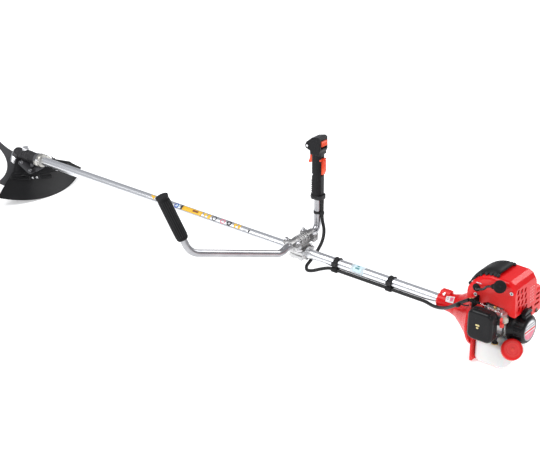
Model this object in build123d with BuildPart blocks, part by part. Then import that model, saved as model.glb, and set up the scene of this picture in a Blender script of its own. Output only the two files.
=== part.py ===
from build123d import *
import math
import os

# Brush cutter: a straight shaft with a bevel gear head and blade at the front end,
# a handlebar across the middle and a small two-stroke engine at the rear end.
# Millimetres. +X runs from the blade to the engine along the drive tube, +Y is the
# operator's right, +Z is up. The origin is the middle of the foot under the engine.

# ---------------------------------------------------------------- driving dimensions
axis_z = 106.0          # height of the drive tube's axis over the ground
tube_radius = 13.0      # 26 mm drive tube
tube_wall = 1.5
tube_reach = 1419.0     # tube seen between the clutch housing and the gear case
housing_x = -171.0      # front face of the clutch housing
head_setback = 90.7     # from the tube collar to the output axis
head_tilt = 25.0        # output axis leans forward from the vertical
blade_radius = 127.5    # 255 mm blade
shaft_radius = 4.0      # 8 mm drive shaft
bar_radius = 9.5        # 19 mm handlebar
grip_x = -600.0         # station of the handlebar bracket
bar_rise = 35.0         # handlebar axis over the tube axis
gap = 0.3               # air between parts that move past each other
fit = 0.04              # radial clearance of a shaft in its bearing

collar_x = housing_x - tube_reach
head_x = collar_x - head_setback
tilt = math.radians(head_tilt)
east = Vector(1, 0, 0)
up = Vector(0, 0, 1)
left = Vector(0, -1, 0)
output_axis = Vector(math.sin(tilt), 0, math.cos(tilt))
output_rear = Vector(math.cos(tilt), 0, -math.sin(tilt))
head_side = (left + output_rear * 0.3).normalized()
head_point = Vector(head_x, 0, axis_z)
head = Plane(origin=head_point, x_dir=output_rear, z_dir=output_axis)

pieces = {}


# ---------------------------------------------------------------- shape helpers
def on_axis(x):
    """Point on the drive tube's axis."""
    return Vector(x, 0, axis_z)


def across(x, y=0.0, z=axis_z):
    """Plane square to the drive tube: its x is +Y, its y is +Z, its normal +X."""
    return Plane(origin=(x, y, z), x_dir=(0, 1, 0), z_dir=(1, 0, 0))


def side_on(y, x=0.0, z=0.0):
    """Upright plane along the tube: its x is +X, its y is +Z, its normal -Y."""
    return Plane(origin=(x, y, z), x_dir=(1, 0, 0), z_dir=(0, -1, 0))


def turned(origin, along, side, outline, mode=Mode.ADD):
    """Revolve a closed outline of (distance along, radius) points about an axis."""
    with BuildSketch(Plane(origin=origin, x_dir=along, z_dir=side)) as profile:
        with BuildLine():
            Polyline(*outline, close=True)
        make_face()
    revolve(profile.sketch, axis=Axis(origin, along), mode=mode)


def turned_x(outline, mode=Mode.ADD, y=0.0, z=axis_z):
    """Revolve (x, radius) points about an axis parallel to the drive tube."""
    turned(Vector(0, y, z), east, left, outline, mode)


def turned_head(outline, mode=Mode.ADD):
    """Revolve (height, radius) points about the gear head's output axis."""
    turned(head_point, output_axis, head_side, outline, mode)


def turned_up(x, y, outline, mode=Mode.ADD):
    """Revolve (z, radius) points about a vertical axis at x, y."""
    turned(Vector(x, y, 0), up, left, outline, mode)


def bar(start, end, radius, mode=Mode.ADD):
    """Round bar from one point to another."""
    start = Vector(*start)
    end = Vector(*end)
    with BuildSketch(Plane(origin=start, z_dir=end - start)) as section:
        Circle(radius)
    extrude(section.sketch, amount=(end - start).length, mode=mode)


def ring(start, end, outer, inner):
    """Round bar with a through hole."""
    bar(start, end, outer)
    bar(start, end, inner, Mode.SUBTRACT)


def hexagon(start, direction, across_flats, height):
    """Hexagonal prism, as a nut or a bolt head."""
    with BuildSketch(Plane(origin=Vector(*start), z_dir=direction)) as section:
        RegularPolygon(across_flats / 2, 6, major_radius=False)
    extrude(section.sketch, amount=height)


def slab(plane, width, height, depth, radius=0.0, mode=Mode.ADD):
    """Rectangle with rounded corners on a plane, extruded along its normal."""
    with BuildSketch(plane) as section:
        if radius > 0:
            RectangleRounded(width, height, radius)
        else:
            Rectangle(width, height)
    extrude(section.sketch, amount=depth, mode=mode)


def prism(plane, outline, depth, mode=Mode.ADD):
    """Closed polygon on a plane, extruded along its normal."""
    with BuildSketch(plane) as section:
        with BuildLine():
            Polyline(*outline, close=True)
        make_face()
    extrude(section.sketch, amount=depth, mode=mode)


def route_radii(route):
    """Radius at each inner point: 0.45 of the shorter run over the tangent of half the turn."""
    radii = []
    for before, corner, after in zip(route, route[1:], route[2:]):
        half_turn = math.radians((corner - before).get_angle(after - corner)) / 2
        shorter = min((corner - before).length, (after - corner).length)
        radii.append(0.45 * shorter / math.tan(half_turn))
    return radii


def route_tube(route, radius):
    """Round tube along a route of straight runs joined by tangent arcs."""
    with BuildLine() as path:
        FilletPolyline(*route, radius=route_radii(route))
    with BuildSketch(Plane(origin=path.line @ 0, z_dir=path.line % 0)) as section:
        Circle(radius)
    sweep(section.sketch, path=path.line)
    return sum(edge.length for edge in path.edges())


def keep(name, builder):
    """Label a finished sub-part and list it for export."""
    builder.part.label = name
    pieces[name] = builder.part


# ---------------------------------------------------------------- gear head: gears
pinion_teeth = 14
gear_teeth = 19
gear_radius = 14.0
shaft_angle = math.radians(90 + head_tilt)
gear_ratio = gear_teeth / pinion_teeth
pinion_angle = math.atan2(math.sin(shaft_angle), gear_ratio + math.cos(shaft_angle))
gear_angle = shaft_angle - pinion_angle
cone_distance = gear_radius / math.sin(gear_angle)
face_width = 5.0
inner_scale = (cone_distance - face_width) / cone_distance
addendum = 1.2
dedendum = 1.7
tooth_pitch = 2 * math.pi * gear_radius / gear_teeth
bearing_radius = 12.0
journal_radius = 5.0
case_radius = 18.0
nose_radius = 14.2


def bevel_teeth(apex, along, radial, cone_angle, count, first):
    """Straight bevel teeth: similar trapezoids lofted towards the cones' apex."""
    pitch_line = along * math.cos(cone_angle) + radial * math.sin(cone_angle)
    sideways = (along * -math.sin(cone_angle) + radial * math.cos(cone_angle)).cross(pitch_line)
    sections = []
    for scale in (0.985, inner_scale + 0.02):
        spot = apex + pitch_line * (cone_distance * scale)
        with BuildSketch(Plane(origin=spot, x_dir=sideways, z_dir=pitch_line)) as section:
            with BuildLine():
                Polyline(
                    (-0.37 * tooth_pitch * scale, -(dedendum + 0.4) * scale),
                    (-0.205 * tooth_pitch * scale, 0),
                    (-0.11 * tooth_pitch * scale, addendum * scale),
                    (0.11 * tooth_pitch * scale, addendum * scale),
                    (0.205 * tooth_pitch * scale, 0),
                    (0.37 * tooth_pitch * scale, -(dedendum + 0.4) * scale),
                    close=True,
                )
            make_face()
        sections.append(section.sketch)
    with BuildPart() as tooth:
        loft(sections, ruled=True)
    axis = Axis(apex, along)
    return [tooth.part.rotate(axis, first + turn * 360 / count) for turn in range(count)]


def root_point(cone_angle, scale):
    """Point of a gear's root cone, as (distance along, radius)."""
    along = cone_distance * math.cos(cone_angle) + dedendum * math.sin(cone_angle)
    out = cone_distance * math.sin(cone_angle) - dedendum * math.cos(cone_angle)
    return (along * scale, out * scale)


pinion_teeth_solids = bevel_teeth(head_point, east, Vector(0, 0, -1), pinion_angle, pinion_teeth, 0)
with BuildPart() as pinion:
    inner = root_point(pinion_angle, inner_scale)
    outer = root_point(pinion_angle, 1.0)
    turned(
        head_point,
        east,
        left,
        [
            (inner[0], 0),
            inner,
            outer,
            (15.5, outer[1]),
            (15.5, 7),
            (17, journal_radius),
            (66, journal_radius),
            (66, 0),
        ],
    )
    add(pinion_teeth_solids)
keep("pinion", pinion)

gear_first = 180 / gear_teeth
gear_solids = bevel_teeth(head_point, output_axis * -1, output_rear, gear_angle, gear_teeth, gear_first)
with BuildPart() as output_gear:
    inner = root_point(gear_angle, inner_scale)
    outer = root_point(gear_angle, 1.0)
    turned(
        head_point,
        output_axis * -1,
        head_side,
        [(inner[0], 5.05), inner, outer, (9.5, outer[1]), (9.5, 9), (13.2, 8), (13.2, 5.05)],
    )
    add(gear_solids)
keep("output_gear", output_gear)

# ---------------------------------------------------------------- gear head: case and bearings
neck_radius = 16.5
neck_front = head_x + 12.0
tube_front = collar_x - 32.0
pinion_seats = (head_x + 20.0, head_x + 38.0)
output_seats = (-21.0, -29.2)
plug_x = collar_x - 60.0
seat_width = 7.0

with BuildPart() as gear_case:
    turned_head(
        [
            (12.5, 0), (12.5, 9), (9, 15), (3, case_radius), (-13.5, case_radius), (-13.5, nose_radius),
            (-30, nose_radius), (-30, 0),
        ],
    )
    turned_x(
        [
            (head_x, 0), (head_x, 12.5), (head_x + 10, 15), (neck_front + 10, neck_radius),
            (collar_x - 14, neck_radius), (collar_x - 12, 18), (collar_x, 18), (collar_x, 0),
        ],
    )
    bar((plug_x, 0, axis_z + 10), (plug_x, 0, axis_z + 19), 10.5)
    with Locations(Plane(origin=(collar_x - 26, 0, axis_z - 16), x_dir=(1, 0, 0), z_dir=(0, 0, -1))):
        with Locations((0, -9), (0, 9)):
            Cylinder(5.5, 8, align=(Align.CENTER, Align.CENTER, Align.MIN))
    turned_head([(9.5, 0), (9.5, 7), (6, 13), (2, 15.3), (-13.4, 15.3), (-13.4, 0)], Mode.SUBTRACT)
    turned_head([(-12, 0), (-12, bearing_radius), (-31, bearing_radius), (-31, 0)], Mode.SUBTRACT)
    turned_x(
        [
            (head_x + 4, 0), (head_x + 4, 9), (head_x + 9, 11.8), (head_x + 17, 11.8),
            (head_x + 17, bearing_radius), (head_x + 46, bearing_radius), (head_x + 46, 0),
        ],
        Mode.SUBTRACT,
    )
    turned_x(
        [
            (head_x + 45, 0), (head_x + 45, 7), (tube_front, 7), (tube_front, tube_radius + 0.03),
            (collar_x + 1, tube_radius + 0.03), (collar_x + 1, 0),
        ],
        Mode.SUBTRACT,
    )
    bar((plug_x, 0, axis_z + 10), (plug_x, 0, axis_z + 20), 4.05, Mode.SUBTRACT)
keep("gear_case", gear_case)


def ball_bearing(start, direction, width, outer, bore):
    """Bearing as one ring with the shield grooves turned into both faces."""
    middle = (outer + bore) / 2
    turned(start, direction, left, [(0, bore), (0, outer), (width, outer), (width, bore)])
    for face in (0.0, width - 0.6):
        turned(
            start,
            direction,
            left,
            [(face, middle - 2), (face, middle + 2), (face + 0.6, middle + 2), (face + 0.6, middle - 2)],
            Mode.SUBTRACT,
        )


with BuildPart() as head_bearings:
    for seat in pinion_seats:
        ball_bearing(on_axis(seat), east, seat_width, bearing_radius - 0.02, journal_radius + fit)
    for seat in output_seats:
        ball_bearing(
            head_point + output_axis * seat, output_axis, seat_width, bearing_radius - 0.02,
            journal_radius + fit,
        )
keep("head_bearings", head_bearings)

# ---------------------------------------------------------------- gear head: arbor, blade and clamp
holder_radius = 20.5
holder_top = -9.5
blade_top = -33.0
blade_thickness = 1.8
blade_bore = 12.7
blade_bottom = blade_top - blade_thickness
washer_bottom = blade_bottom - 3.6
nut_bottom = washer_bottom - 8.0

with BuildPart() as arbor:
    turned_head(
        [
            (-4.6, 0), (-4.6, journal_radius), (nut_bottom + 0.5, journal_radius), (nut_bottom - 2, 4),
            (nut_bottom - 2, 0),
        ],
    )
keep("arbor", arbor)

holder_outline = [
    (holder_top, case_radius + 0.4), (holder_top, holder_radius - 1), (holder_top - 1, holder_radius),
]
for number in range(4):
    groove = holder_top - 3.5 - number * 4.8
    holder_outline += [
        (groove, holder_radius),
        (groove - 0.6, holder_radius - 0.8),
        (groove - 1.8, holder_radius - 0.8),
        (groove - 2.4, holder_radius),
    ]
holder_outline += [
    (blade_top, holder_radius),
    (blade_top, blade_bore - 0.1),
    (blade_bottom + 0.1, blade_bore - 0.1),
    (blade_bottom + 0.1, journal_radius + 0.02),
    (-30.6, journal_radius + 0.02),
    (-30.6, nose_radius + gap),
    (-14.0, nose_radius + gap),
    (-14.0, case_radius + 0.4),
]
with BuildPart() as blade_holder:
    turned_head(holder_outline)
keep("blade_holder", blade_holder)

arc_distance = 158.0    # centres of the three hollow edges
arc_radius = 126.0
with BuildPart() as blade:
    with BuildSketch(head.offset(blade_bottom)) as blade_face:
        Circle(blade_radius)
        with PolarLocations(arc_distance, 3):
            Circle(arc_radius, mode=Mode.SUBTRACT)
        Circle(blade_bore, mode=Mode.SUBTRACT)
    extrude(amount=blade_thickness)
keep("blade", blade)

with BuildPart() as clamp_washer:
    turned_head(
        [
            (blade_bottom, journal_radius + 0.02), (blade_bottom, 19), (blade_bottom - 2, 20),
            (washer_bottom, 17), (washer_bottom, journal_radius + 0.02),
        ],
    )
keep("clamp_washer", clamp_washer)

with BuildPart() as arbor_nut:
    hexagon(head_point + output_axis * nut_bottom, output_axis, 17, washer_bottom - nut_bottom)
    bar(
        head_point + output_axis * (nut_bottom - 1), head_point + output_axis * (washer_bottom + 1),
        journal_radius + 0.02, Mode.SUBTRACT,
    )
keep("arbor_nut", arbor_nut)

# ---------------------------------------------------------------- guard
rim_centre = (-83.0, 18.0)      # centre of the rim's arc in the head's plane
rim_radius = 250.0
rim_span = (-44.8, 38.0)
shoulder_centre = (-174.0, 90.0)
shoulder_radius = 283.0
shoulder_span = (-36.2, 8.9)
shoulder_top = -13.0
plate_top = -7.0
guard_wall = 3.0
rim_reach = rim_centre[0] + rim_radius
rim_low = -(axis_z - rim_reach * math.sin(tilt)) / math.cos(tilt)


def fan(height, centre, radius, span, hub_x, hub_y):
    """Fan outline parallel to the blade: an arc closed by two straight sides."""
    with BuildSketch(head.offset(height)) as outline:
        with BuildLine():
            arc = CenterArc(centre, radius, span[0], span[1] - span[0])
            Line(arc @ 1, (hub_x, hub_y))
            Line((hub_x, hub_y), (hub_x, -hub_y))
            Line((hub_x, -hub_y), arc @ 0)
        make_face()
    return outline.sketch


with BuildPart() as guard:
    loft([
        fan(rim_low, rim_centre, rim_radius, rim_span, 12, 24),
        fan(shoulder_top, shoulder_centre, shoulder_radius, shoulder_span, 12, 24),
    ], ruled=True)
    loft([
        fan(shoulder_top, shoulder_centre, shoulder_radius, shoulder_span, 12, 24),
        fan(plate_top, shoulder_centre, shoulder_radius - 8, (-34.5, 7.4), 12, 22),
    ], ruled=True)
    loft([
        fan(rim_low - guard_wall, rim_centre, rim_radius, (-52, 45), -12, 60),
        fan(shoulder_top - guard_wall, shoulder_centre, shoulder_radius, (-42, 15), -12, 60),
    ], ruled=True, mode=Mode.SUBTRACT)
    loft([
        fan(shoulder_top - guard_wall - 0.01, shoulder_centre, shoulder_radius - 1.5, (-42, 15), -12, 60),
        fan(plate_top - guard_wall, shoulder_centre, shoulder_radius - 11, (-42, 15), -12, 60),
    ], ruled=True, mode=Mode.SUBTRACT)
    bar(head_point + output_axis * -50, head_point + output_axis * 5, holder_radius + 0.7, Mode.SUBTRACT)
    bar(head_point, on_axis(collar_x), case_radius + 0.6, Mode.SUBTRACT)
    for rib_y in (-46.0, 0.0, 46.0, 92.0):
        prism(
            Plane(origin=head_point + Vector(0, rib_y - 1, 0), x_dir=output_rear, z_dir=(0, -1, 0)),
            [(52, plate_top - 2), (80, plate_top - 2), (80, plate_top - 11), (74, plate_top - 11)],
            2,
        )
keep("guard", guard)

# clamp ring round the case's collar and the leg that carries the guard
ring_front = collar_x + 1.0
ring_rear = collar_x + 15.0
saddle_top = plate_top + 4.0
ring_middle = (ring_front + ring_rear) / 2
with BuildPart() as guard_bracket:
    turned_x(
        [
            (ring_front, tube_radius + 0.05), (ring_front, 18.5), (ring_front + 3, 20),
            (ring_rear, 17.5), (ring_rear, tube_radius + 0.05),
        ],
    )
    slab(across(ring_front, 0, axis_z), 50, 12, 14, 3)
    turned_x(
        [
            (ring_front - 1, 0), (ring_front - 1, tube_radius + 0.05),
            (ring_rear + 1, tube_radius + 0.05), (ring_rear + 1, 0),
        ],
        Mode.SUBTRACT,
    )
    prism(
        side_on(9, 0, 0),
        [
            (ring_rear, axis_z - 12), (ring_rear, axis_z - 20), (head_x + 78, axis_z - 41),
            (head_x + 60, axis_z - 32), (ring_front - 10, axis_z - 25.5), (ring_front, axis_z - 17),
            (ring_front, axis_z - 12),
        ],
        18,
    )
    turned_x(
        [
            (ring_front - 1, 0), (ring_front - 1, tube_radius + 0.05),
            (ring_rear + 1, tube_radius + 0.05), (ring_rear + 1, 0),
        ],
        Mode.SUBTRACT,
    )
    with BuildSketch(head.offset(plate_top + 0.02)) as saddle:
        with Locations((56, 0)):
            RectangleRounded(58, 62, 8)
    extrude(saddle.sketch, amount=4)
    bar(head_point, on_axis(ring_front - 0.2), case_radius + 0.2, Mode.SUBTRACT)
    for bolt_y in (-20.5, 20.5):
        bar((ring_middle, bolt_y, axis_z + 6), (ring_middle, bolt_y, axis_z + 16), 4.8, Mode.SUBTRACT)
keep("guard_bracket", guard_bracket)

guard_screw_spots = [(36.0, -22.0), (36.0, 22.0), (76.0, -22.0), (76.0, 22.0)]
with BuildPart() as head_bolts:
    bar((plug_x, 0, axis_z + 19), (plug_x, 0, axis_z + 21), 10.5)
    hexagon((plug_x, 0, axis_z + 21), up, 17, 5)
    bar((plug_x, 0, axis_z + 12), (plug_x, 0, axis_z + 19), 4)
    for bolt_y in (-20.5, 20.5):
        bar((ring_middle, bolt_y, axis_z + 6.02), (ring_middle, bolt_y, axis_z + 10.5), 4.5)
    for spot in guard_screw_spots:
        base = head_point + output_rear * spot[0] + Vector(0, spot[1], 0)
        bar(base + output_axis * (saddle_top + 0.05), base + output_axis * (saddle_top + 3.6), 4.8)
keep("head_bolts", head_bolts)

# ---------------------------------------------------------------- drive tube and shaft
tube_rear = housing_x + 38.0
shaft_rear = housing_x + 43.0
bush_length = 24.0
bush_spots = [collar_x + 60 + 257 * number for number in range(6)]

with BuildPart() as outer_tube:
    ring(on_axis(tube_front), on_axis(tube_rear), tube_radius, tube_radius - tube_wall)
keep("outer_tube", outer_tube)

with BuildPart() as drive_shaft:
    bar(on_axis(head_x + 66.05), on_axis(shaft_rear), shaft_radius)
keep("drive_shaft", drive_shaft)

with BuildPart() as shaft_bushes:
    for spot in bush_spots:
        ring(
            on_axis(spot), on_axis(spot + bush_length), tube_radius - tube_wall - 0.04,
            shaft_radius + 0.06,
        )
keep("shaft_bushes", shaft_bushes)

# ---------------------------------------------------------------- handlebar bracket
bar_z = axis_z + bar_rise
clamp_left = -56.0
clamp_right = 44.0
clamp_length = clamp_right - clamp_left
clamp_middle = (clamp_right + clamp_left) / 2
clamp_gap = 0.6             # half of the gap between two clamp parts

with BuildPart() as bracket_base:
    turned_x(
        [
            (grip_x - 21, tube_radius + 0.05), (grip_x - 21, 18.5), (grip_x + 21, 18.5),
            (grip_x + 21, tube_radius + 0.05),
        ],
    )
    slab(across(grip_x - 21, 0, axis_z - 6), 56, 11, 42, 3)
    turned_x(
        [
            (grip_x - 22, 0), (grip_x - 22, tube_radius + 0.05), (grip_x + 22, tube_radius + 0.05),
            (grip_x + 22, 0),
        ],
        Mode.SUBTRACT,
    )
    with Locations((grip_x, 0, axis_z - clamp_gap + 30)):
        Box(60, 80, 60, mode=Mode.SUBTRACT)
keep("bracket_base", bracket_base)

with BuildPart() as bracket_body:
    turned_x([(grip_x - 21, 0), (grip_x - 21, 18.5), (grip_x + 21, 18.5), (grip_x + 21, 0)])
    slab(across(grip_x - 21, 0, axis_z + 6), 56, 11, 42, 3)
    with Locations((grip_x, 0, axis_z + 18)):
        Box(28, 30, 16)
    with Locations((grip_x, clamp_middle, bar_z - 6)):
        Box(26, clamp_length, 12)
    for lug_y in (clamp_left + 14, clamp_right - 14):
        with Locations((grip_x, lug_y, bar_z - 5)):
            Box(46, 18, 10)
    bar((grip_x - 40, 0, axis_z), (grip_x + 40, 0, axis_z), tube_radius + 0.05, Mode.SUBTRACT)
    bar((grip_x, clamp_left - 1, bar_z), (grip_x, clamp_right + 1, bar_z), bar_radius + 0.03, Mode.SUBTRACT)
    with Locations((grip_x, 0, axis_z + clamp_gap - 30)):
        Box(60, 80, 60, mode=Mode.SUBTRACT)
    with Locations((grip_x, clamp_middle, bar_z - clamp_gap + 20)):
        Box(60, clamp_length + 4, 40, mode=Mode.SUBTRACT)
keep("bracket_body", bracket_body)

with BuildPart() as bracket_cap:
    bar((grip_x, clamp_left, bar_z), (grip_x, clamp_right, bar_z), bar_radius + 4.5)
    for lug_y in (clamp_left + 14, clamp_right - 14):
        with Locations((grip_x, lug_y, bar_z + 4.5)):
            Box(46, 18, 9)
    for rib_y in (-18.0, 0.0, 12.0):
        bar((grip_x, rib_y - 1.5, bar_z), (grip_x, rib_y + 1.5, bar_z), bar_radius + 6)
    bar((grip_x, clamp_left - 1, bar_z), (grip_x, clamp_right + 1, bar_z), bar_radius + 0.03, Mode.SUBTRACT)
    with Locations((grip_x, clamp_middle, bar_z + clamp_gap - 20)):
        Box(60, clamp_length + 4, 40, mode=Mode.SUBTRACT)
keep("bracket_cap", bracket_cap)

# ---------------------------------------------------------------- handlebar and left grip
bar_right_corner = Vector(grip_x, clamp_right + 24, bar_z)
bar_right_top = Vector(grip_x - 4.0, clamp_right + 28, axis_z + 190)
bar_left_corner = Vector(grip_x, -64, bar_z)
bar_left_knee = Vector(grip_x - 4, -86, bar_z - 11)
bar_left_bend = Vector(grip_x - 85, -347, axis_z + 103)
bar_left_end = Vector(grip_x - 139, -383, axis_z + 252)
grip_direction = (bar_left_end - bar_left_bend).normalized()
grip_length = 126.0
grip_end = bar_left_end + grip_direction * 4.5
grip_start = grip_end - grip_direction * grip_length

with BuildPart() as handlebar:
    with BuildLine() as bar_line:
        FilletPolyline(
            bar_right_top,
            bar_right_corner,
            bar_left_corner,
            bar_left_knee,
            bar_left_bend,
            bar_left_end,
            radius=[24, 30, 30, 46],
        )
    with BuildSketch(Plane(origin=bar_line.line @ 0, z_dir=bar_line.line % 0)):
        Circle(bar_radius)
        Circle(bar_radius - 1.5, mode=Mode.SUBTRACT)
    sweep()
keep("handlebar", handlebar)

with BuildPart() as left_grip:
    turned(
        grip_start,
        grip_direction,
        left.cross(grip_direction),
        [
            (0, bar_radius + 0.03), (0, 13), (3, 15), (grip_length - 8, 15), (grip_length - 5, 16.5),
            (grip_length - 1, 16.5),
            (grip_length, 15), (grip_length, 0), (grip_length - 4, 0), (grip_length - 4, bar_radius + 0.03),
        ],
    )
keep("left_grip", left_grip)

# ---------------------------------------------------------------- throttle handle
stem_direction = (bar_right_top - bar_right_corner).normalized()
handle_base = bar_right_corner + stem_direction * ((axis_z + 128 - bar_z) / stem_direction.Z)
handle_rear = (east - stem_direction * east.dot(stem_direction)).normalized()
handle_side = Plane(origin=handle_base, x_dir=handle_rear, z_dir=handle_rear.cross(stem_direction))
handle_half_width = 15.0
head_half_width = 18.0
trigger_pivot = (-8.0, 128.0)
lock_pivot = (15.0, 110.5)
cable_rear = 14.6       # the cable enters the foot of the handle this far behind the bar


def handle_prism(outline, low, high, mode=Mode.ADD):
    """Extrude a (rearward, upward) outline between two offsets to the handle's side."""
    prism(handle_side.offset(low), outline, high - low, mode)


def handle_point(rear, height, side=0.0):
    """Point of the handle in the object's frame."""
    return handle_side.from_local_coords(Vector(rear, height, side))


with BuildPart() as handle_head:
    handle_prism(
        [
            (-14, 124),
            (-15, 134),
            (-28, 139),
            (-31, 146),
            (-27, 156),
            (-10, 170),
            (10, 175),
            (17, 172),
            (18, 139),
            (14, 131),
            (14, 124),
        ],
        -head_half_width,
        head_half_width,
    )
    side_edges = handle_head.edges().filter_by(
        lambda edge: abs(abs(handle_side.to_local_coords(edge.center()).Z) - head_half_width) < 0.1
    )
    fillet(side_edges, 2.5)


def whole_handle():
    """Throttle handle before it is split into its two halves."""
    with BuildPart() as whole:
        stem_foot = Plane(origin=handle_point(0, 8), x_dir=handle_rear, z_dir=stem_direction)
        with BuildSketch(stem_foot) as section:
            RectangleRounded(29, 2 * handle_half_width, 11)
        extrude(section.sketch, amount=120)
        with BuildSketch(Plane(origin=handle_point(1, 0), x_dir=handle_rear, z_dir=stem_direction)) as foot:
            RectangleRounded(36, 2 * handle_half_width + 2, 11)
        extrude(foot.sketch, amount=11)
        add(handle_head.part)
        bar(handle_point(0, -1), handle_point(0, 62), bar_radius + 0.05, Mode.SUBTRACT)
        handle_prism([(-11, 61), (-11, 162), (11, 162), (11, 61)], -9, 9, Mode.SUBTRACT)
        handle_prism([(-40, 91.5), (-40, 137), (0, 137), (0, 91.5)], -5.6, 5.6, Mode.SUBTRACT)
        handle_prism([(6, 65), (6, 117.5), (40, 117.5), (40, 65)], -5.6, 5.6, Mode.SUBTRACT)
        handle_prism([(10, 142), (10, 164.5), (30, 164.5), (30, 142)], -11.4, 11.4, Mode.SUBTRACT)
        for pivot in (trigger_pivot, lock_pivot):
            bar(handle_point(*pivot, -12.3), handle_point(*pivot, 12.3), 2.55, Mode.SUBTRACT)
        bar(handle_point(cable_rear, -1), handle_point(cable_rear, 8), 3.0, Mode.SUBTRACT)
    return whole.part


handle_whole = whole_handle()
with BuildPart() as handle_left_half:
    add(handle_whole)
    split_plane = handle_side.offset(0.1)
    split(bisect_by=split_plane, keep=Keep.TOP)
keep("handle_left_half", handle_left_half)

with BuildPart() as handle_right_half:
    add(handle_whole)
    split(bisect_by=handle_side.offset(-0.1), keep=Keep.BOTTOM)
keep("handle_right_half", handle_right_half)

with BuildPart() as throttle_trigger:
    handle_prism(
        [
            (-11, 132.5),
            (-4, 131),
            (-4, 123),
            (-9, 114),
            (-13, 102),
            (-20, 97),
            (-26, 95.5),
            (-27.5, 99),
            (-23.5, 108),
            (-22, 119),
            (-19, 132),
        ],
        -5,
        5,
    )
    bar(handle_point(*trigger_pivot, -12), handle_point(*trigger_pivot, 12), 2.5)
keep("throttle_trigger", throttle_trigger)

with BuildPart() as lock_lever:
    handle_prism(
        [
            (11.5, 113.5),
            (19, 114.5),
            (22, 108.5),
            (22.5, 80.5),
            (19, 70.5),
            (13, 69.5),
            (12, 76.5),
            (13.5, 82.5),
            (11.5, 104.5),
        ],
        -5,
        5,
    )
    bar(handle_point(*lock_pivot, -12), handle_point(*lock_pivot, 12), 2.5)
keep("lock_lever", lock_lever)

with BuildPart() as stop_switch:
    handle_prism(
        [(11.5, 149), (11.5, 163.5), (19.5, 163.5), (22, 162), (20.5, 156.2), (22, 150.5), (19.5, 149)],
        -11, 11
    )
keep("stop_switch", stop_switch)

with BuildPart() as handle_screws:
    for height, rear in ((6.0, -14.0), (70.0, -8.0), (147.0, -22.0)):
        side = handle_half_width if height < 120 else head_half_width
        bar(handle_point(rear, height, side + 0.05), handle_point(rear, height, side + 1.6), 3.2)
    for lug_y in (clamp_left + 14, clamp_right - 14):
        for screw_x in (-18.5, 18.5):
            bar((grip_x + screw_x, lug_y, bar_z + 9.05), (grip_x + screw_x, lug_y, bar_z + 15), 4.4)
            hexagon((grip_x + screw_x, lug_y, bar_z - 13.5), up, 8.5, 3.4)
    for lug_y in (-22.5, 22.5):
        for screw_x in (-13.0, 13.0):
            hexagon((grip_x + screw_x, lug_y, axis_z + 11.6), up, 8.5, 4.5)
            bar((grip_x + screw_x, lug_y, axis_z - 16), (grip_x + screw_x, lug_y, axis_z - 11.6), 4.6)
keep("handle_screws", handle_screws)

# ---------------------------------------------------------------- clutch housing and clutch
bearing_seats = (housing_x + 45.0, housing_x + 56.0)
bell_rear = -45.0
bell_radius = 80.0
fan_radius = 55.0
fan_rear = -24.0

with BuildPart() as clutch_housing:
    turned_x([
        (housing_x, 0), (housing_x, 19), (housing_x + 3, 21), (housing_x + 38, 24),
        (housing_x + 58, 30), (housing_x + 80, 45),
        (housing_x + 101, 61), (housing_x + 116, 74), (bell_rear - 6, bell_radius),
        (bell_rear, bell_radius), (bell_rear, fan_radius + 3),
        (fan_rear, fan_radius + 3), (fan_rear, 0),
    ])
    slab(across(housing_x + 6, 0, axis_z + 22), 20, 16, 26, 4)
    turned_x([
        (housing_x + 68, 0), (housing_x + 68, 33), (housing_x + 82, 41), (housing_x + 103, 57),
        (housing_x + 118, 70),
        (bell_rear - 5, 76), (bell_rear - 3, 76), (bell_rear - 3, fan_radius),
        (fan_rear + 1, fan_radius), (fan_rear + 1, 0),
    ], Mode.SUBTRACT)
    turned_x(
        [
            (housing_x - 1, 0), (housing_x - 1, tube_radius + 0.04),
            (tube_rear + 1, tube_radius + 0.04), (tube_rear + 1, 0),
        ],
        Mode.SUBTRACT,
    )
    turned_x(
        [(housing_x + 38, 0), (housing_x + 38, 12), (housing_x + 69, 12), (housing_x + 69, 0)],
        Mode.SUBTRACT,
    )
    turned_x(
        [(housing_x + 44, 0), (housing_x + 44, 14), (housing_x + 70, 14), (housing_x + 70, 0)],
        Mode.SUBTRACT,
    )
    slab(across(housing_x - 1, 0, axis_z + 22), 2.4, 22, 34, mode=Mode.SUBTRACT)
keep("clutch_housing", clutch_housing)

drum_front = housing_x + 71.0
drum_rear = drum_front + 32.0
drum_radius = 31.0
with BuildPart() as clutch_drum:
    turned_x([
        (shaft_rear, 0), (shaft_rear, 6), (drum_front, 6), (drum_front, 27), (drum_front + 4, drum_radius),
        (drum_rear, drum_radius), (drum_rear, drum_radius - 2.5), (drum_front + 5, drum_radius - 2.5),
        (drum_front + 3, 26), (drum_front + 3, 0),
    ])
keep("clutch_drum", clutch_drum)

shoe_radius = drum_radius - 3.5
with BuildPart() as clutch_shoes:
    turned_x(
        [
            (drum_front + 8, 9), (drum_front + 8, shoe_radius), (drum_front + 24, shoe_radius),
            (drum_front + 24, 9),
        ],
    )
    with Locations((drum_front + 16, 0, axis_z)):
        Box(20, 2 * drum_radius, 5, mode=Mode.SUBTRACT)
keep("clutch_shoes", clutch_shoes)

cylinder_x = 8.0        # station of the cylinder's axis
crank_front_seat = cylinder_x - 28.0
crank_rear_seat = cylinder_x + 18.0
with BuildPart() as engine_bearings:
    for seat in bearing_seats:
        ball_bearing(on_axis(seat), east, 9, 13.98, 6 + fit)
    for seat in (crank_front_seat, crank_rear_seat):
        ball_bearing(on_axis(seat), east, 9, 15.98, 8 + fit)
keep("engine_bearings", engine_bearings)

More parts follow.
